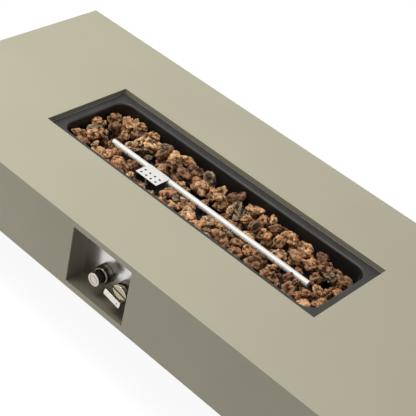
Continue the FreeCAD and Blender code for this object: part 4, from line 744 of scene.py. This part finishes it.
def rock_shape(level, lumps, size, stretch, turn, salt, rough):
    """Corners of one rock about its middle, and how far each stands out, from 0 to 1."""
    directions = BALLS[level][0]
    reach = lump_reach(directions, lumps)
    out = np.empty(len(directions))
    for index, direction in enumerate(directions):
        spot = Vector(direction) * NOISE_SCALE + salt
        broad = noise.fractal(spot, *BROAD_NOISE)
        near, next_near = noise.voronoi(spot * CRACK_SCALE)[0][:2]
        fine = noise.fractal(spot * FINE_SCALE, *FINE_NOISE)
        sharp = HALFWAY - abs(noise.noise(spot * SHARP_SCALE))
        out[index] = (BROAD_HEIGHT * broad + CRACK_HEIGHT * (next_near - near - MIDDLE_HEIGHT)
                      + FINE_HEIGHT * fine + SHARP_HEIGHT * (sharp - MIDDLE_HEIGHT))
    out = np.clip(out * rough, -ROCK_RELIEF, ROCK_RELIEF)
    corners = directions * (reach * (1 + out))[:, None] * np.array(stretch) * size
    turned = corners @ np.array(turn.to_matrix()).T
    stands = np.clip(HALFWAY + out * STAND_GAIN, 0, 1)
    return turned, stands


def outside_pan(x, y):
    """Places that are too near the pan's walls or rounded corners."""
    past_walls = (abs(x) > PAN_HALF_X - WALL_MARGIN) | (abs(y) > PAN_HALF_Y - WALL_MARGIN)
    over_x = np.maximum(abs(x) - (PAN_HALF_X - PAN_CORNER), 0)
    over_y = np.maximum(abs(y) - (PAN_HALF_Y - PAN_CORNER), 0)
    return past_walls | (np.hypot(over_x, over_y) > PAN_CORNER - WALL_MARGIN)


def under_fittings(x, y):
    """Places taken by the burner's saddles, its mixer tube and the pilot under its hood."""
    mixer_axis = middle("mixer_lock_nut")
    saddles = (abs(abs(x) - SADDLE_X) < SADDLE_HALF_X) & (abs(y) < SADDLE_HALF_Y)
    mixer = np.hypot(x - mixer_axis.x, y - mixer_axis.y) < MIXER_REACH
    pilot_x = (x > HOOD_LOW.x - HOOD_GAP_LEFT) & (x < HOOD_HIGH.x + HOOD_GAP)
    pilot_y = (y > HOOD_LOW.y - HOOD_GAP) & (y < 0.0)
    return saddles | mixer | (pilot_x & pilot_y)


class Bed:
    """Heights of what lies in the tray so far, on a grid seen from above."""

    def __init__(self):
        count_x = int(2 * PAN_HALF_X / ROCK_CELL) + SPARE_CELLS
        count_y = int(2 * PAN_HALF_Y / ROCK_CELL) + SPARE_CELLS
        self.x0 = -(count_x // 2) * ROCK_CELL
        self.y0 = -(count_y // 2) * ROCK_CELL
        xs = self.x0 + np.arange(count_x) * ROCK_CELL
        ys = self.y0 + np.arange(count_y) * ROCK_CELL
        x, y = np.meshgrid(xs, ys, indexing="ij")
        self.heights = np.full(x.shape, PAN_FLOOR)
        self.heights[outside_pan(x, y) | under_fittings(x, y)] = BLOCKED
        behind = (y > ROCK_BACK_FROM) | (x < -TUBE_HALF - ROCK_LEFT_GAP)
        self.roofs = np.where(behind, ROCK_CEILING_BACK, ROCK_CEILING)
        near = TUBE_RADIUS + TUBE_GAP
        under = (abs(x) < TUBE_HALF + TUBE_END_GAP) & (abs(y) < near)
        arch = TUBE_Z - np.sqrt(np.maximum(near ** 2 - y ** 2, 0))
        self.roofs[under] = arch[under]

    def cells(self, corners):
        i = np.rint((corners[:, 0] - self.x0) / ROCK_CELL).astype(int)
        j = np.rint((corners[:, 1] - self.y0) / ROCK_CELL).astype(int)
        count_x, count_y = self.heights.shape
        if i.min() < 0 or j.min() < 0 or i.max() >= count_x or j.max() >= count_y:
            return None
        return i, j

    def resting(self, corners):
        """The lift at which a rock just nests on what is under it, or None where it can't lie."""
        cells = self.cells(corners)
        if cells is None:
            return None
        under = self.heights[cells]
        if under.max() >= BLOCKED:
            return None
        floor_lift = PAN_FLOOR - corners[:, 2].min()
        lift = max(np.percentile(under - corners[:, 2], ROCK_NESTING), floor_lift)
        if np.any(corners[:, 2] + lift > self.roofs[cells]):
            return None
        return lift

    def lay(self, corners):
        i, j = self.cells(corners)
        np.maximum.at(self.heights, (i, j), corners[:, 2])


def rock_turn(chance):
    """Any heading, with the flat side mostly down."""
    return Euler((chance.gauss(0, ROCK_TILT), chance.gauss(0, ROCK_TILT), chance.uniform(0, 2 * math.pi)))


def rock_form(chance, share):
    """What makes one rock's shape, drawn at random."""
    least, most = next((low, high) for limit, low, high in ROCK_LAYERS if share < limit)
    size = chance.uniform(least, most)
    return {
        "lumps": rock_lumps(chance),
        "size": size,
        "stretch": (1.0, chance.uniform(*ROCK_WIDTH), chance.uniform(*ROCK_HEIGHT)),
        "turn": rock_turn(chance),
        "salt": Vector([chance.uniform(-ROCK_SALT, ROCK_SALT) for _ in range(3)]),
        "rough": chance.uniform(*ROCK_ROUGHNESS),
    }


def best_place(chance, bed, coarse, proud):
    """The lowest place tried, or the highest for a proud rock: the rock's top, spin and shift there."""
    best = None
    for _ in range(ROCK_TRIES):
        x = chance.uniform(-PAN_HALF_X, PAN_HALF_X)
        y = chance.uniform(-PAN_HALF_Y, PAN_HALF_Y)
        spin = Matrix.Rotation(chance.uniform(0, 2 * math.pi), 3, "Z")
        corners = coarse @ np.array(spin).T + np.array((x, y, 0))
        lift = bed.resting(corners)
        if lift is None:
            continue
        top = corners[:, 2].max() + lift
        rank = -top if proud else top
        if best is None or rank < best[0]:
            best = (rank, top, spin, (x, y, lift))
    return best and best[1:]


def fill_bed():
    """Large rocks first, the later ones of them standing high, then smaller ones in the gaps."""
    chance = random.Random(ROCK_SEED)
    bed = Bed()
    rocks = []
    for index in range(ROCK_COUNT):
        share = index / ROCK_COUNT
        form = rock_form(chance, share)
        coarse, _ = rock_shape(COARSE, **form)
        best = best_place(chance, bed, coarse, ROCK_PROUD[0] < share < ROCK_PROUD[1])
        if best is None:
            continue
        top, spin, shift = best
        level = FINE if top > ROCK_FINE_ABOVE else COARSE
        corners, stands = rock_shape(level, **form)
        corners = corners @ np.array(spin).T + np.array(shift)
        corners[:, 2] = np.maximum(corners[:, 2], PAN_FLOOR + SKIN)
        bed.lay(corners)
        rocks.append((level, corners, stands, chance.random()))
    return rocks


def rock_bed():
    """All rocks as one piece; a colour attribute holds each corner's tone and how far it stands out."""
    corners = []
    triangles = []
    looks = []
    start = 0
    for level, points, stands, tone in fill_bed():
        count = len(points)
        corners.append(points)
        triangles.append(BALLS[level][1] + start)
        looks.append(np.column_stack([np.full(count, tone), stands, np.zeros(count), np.ones(count)]))
        start += count
    mesh = bpy.data.meshes.new("lava_rock_bed")
    mesh.from_pydata(np.concatenate(corners).tolist(), [], np.concatenate(triangles).tolist())
    attribute = mesh.color_attributes.new("rock_look", "FLOAT_COLOR", "POINT")
    attribute.data.foreach_set("color", np.concatenate(looks).astype(np.float32).ravel())
    for face in mesh.polygons:
        face.use_smooth = True
    place_piece("lava_rock_bed", mesh, "lava_rocks")


rock_bed()


# Floor, light and camera

def grey(level):
    return (level, level, level, 1.0)


def direct_ray(tree):
    """1 for rays from the camera, and for those seen in metal or glass."""
    path = add(tree, "ShaderNodeLightPath")
    first = add(tree, "ShaderNodeMath", operation="MAXIMUM")
    tree.links.new(path.outputs["Is Camera Ray"], first.inputs[0])
    tree.links.new(path.outputs["Is Glossy Ray"], first.inputs[1])
    second = add(tree, "ShaderNodeMath", operation="MAXIMUM")
    tree.links.new(first.outputs[0], second.inputs[0])
    tree.links.new(path.outputs["Is Transmission Ray"], second.inputs[1])
    return second.outputs[0]


def split_look(tree, lights, shows, output_kind):
    """Lights the object with one shader, and shows another to direct rays."""
    pick = add(tree, "ShaderNodeMixShader", {"Fac": direct_ray(tree)})
    tree.links.new(lights.outputs[0], pick.inputs[1])
    tree.links.new(shows.outputs[0], pick.inputs[2])
    output = add(tree, output_kind)
    tree.links.new(pick.outputs[0], output.inputs["Surface"])


def make_floor():
    """A pale floor that fades into the background and keeps the table's shadow."""
    form = bmesh.new()
    bmesh.ops.create_grid(form, x_segments=FLOOR_CELLS, y_segments=FLOOR_CELLS, size=FLOOR_HALF_SIZE)
    mesh = bpy.data.meshes.new("floor")
    form.to_mesh(mesh)
    form.free()
    floor = bpy.data.objects.new("floor", mesh)
    bpy.context.scene.collection.objects.link(floor)
    material = bpy.data.materials.new("pale_floor")
    material.use_nodes = True
    tree = material.node_tree
    tree.nodes.clear()
    seen = add(tree, "ShaderNodeEmission", {"Color": WHITE, "Strength": FLOOR_SEEN})
    shaded = add(tree, "ShaderNodeBsdfDiffuse", {"Color": grey(FLOOR_SHADOW)})
    both = add(tree, "ShaderNodeAddShader")
    tree.links.new(seen.outputs[0], both.inputs[0])
    tree.links.new(shaded.outputs[0], both.inputs[1])
    plain = add(tree, "ShaderNodeBsdfDiffuse", {"Color": grey(FLOOR_BOUNCE)})
    split_look(tree, plain, both, "ShaderNodeOutputMaterial")
    mesh.materials.append(material)


def make_sky():
    """A dim even sky that shows as white."""
    world = bpy.data.worlds.new("studio")
    bpy.context.scene.world = world
    world.use_nodes = True
    tree = world.node_tree
    tree.nodes.clear()
    light = add(tree, "ShaderNodeBackground", {"Color": SKY_COLOR, "Strength": SKY_STRENGTH})
    white = add(tree, "ShaderNodeBackground", {"Color": WHITE, "Strength": 1.0})
    split_look(tree, light, white, "ShaderNodeOutputWorld")


def make_lamp():
    data = bpy.data.lights.new("softbox", "AREA")
    data.shape = "SQUARE"
    data.size = LAMP_SIZE
    data.energy = LAMP_POWER
    data.color = LAMP_COLOR
    lamp = bpy.data.objects.new("softbox", data)
    lamp.location = LAMP_PLACE
    aim = Vector(LAMP_TARGET) - Vector(LAMP_PLACE)
    lamp.rotation_euler = aim.to_track_quat("-Z", "Y").to_euler()
    bpy.context.scene.collection.objects.link(lamp)


def make_camera():
    data = bpy.data.cameras.new("camera")
    data.lens = CAMERA_LENS
    data.clip_end = CAMERA_REACH
    camera = bpy.data.objects.new("camera", data)
    heading = Matrix.Rotation(math.radians(CAMERA_AZIMUTH), 4, "Z")
    tilt = Matrix.Rotation(math.radians(UPRIGHT - CAMERA_ELEVATION), 4, "X")
    roll = Matrix.Rotation(math.radians(CAMERA_ROLL), 4, "Z")
    camera.matrix_world = Matrix.Translation(CAMERA_PLACE) @ heading @ tilt @ roll
    bpy.context.scene.collection.objects.link(camera)
    bpy.context.scene.camera = camera


make_floor()
make_sky()
make_lamp()
make_camera()
bpy.context.scene.view_settings.view_transform = "Standard"
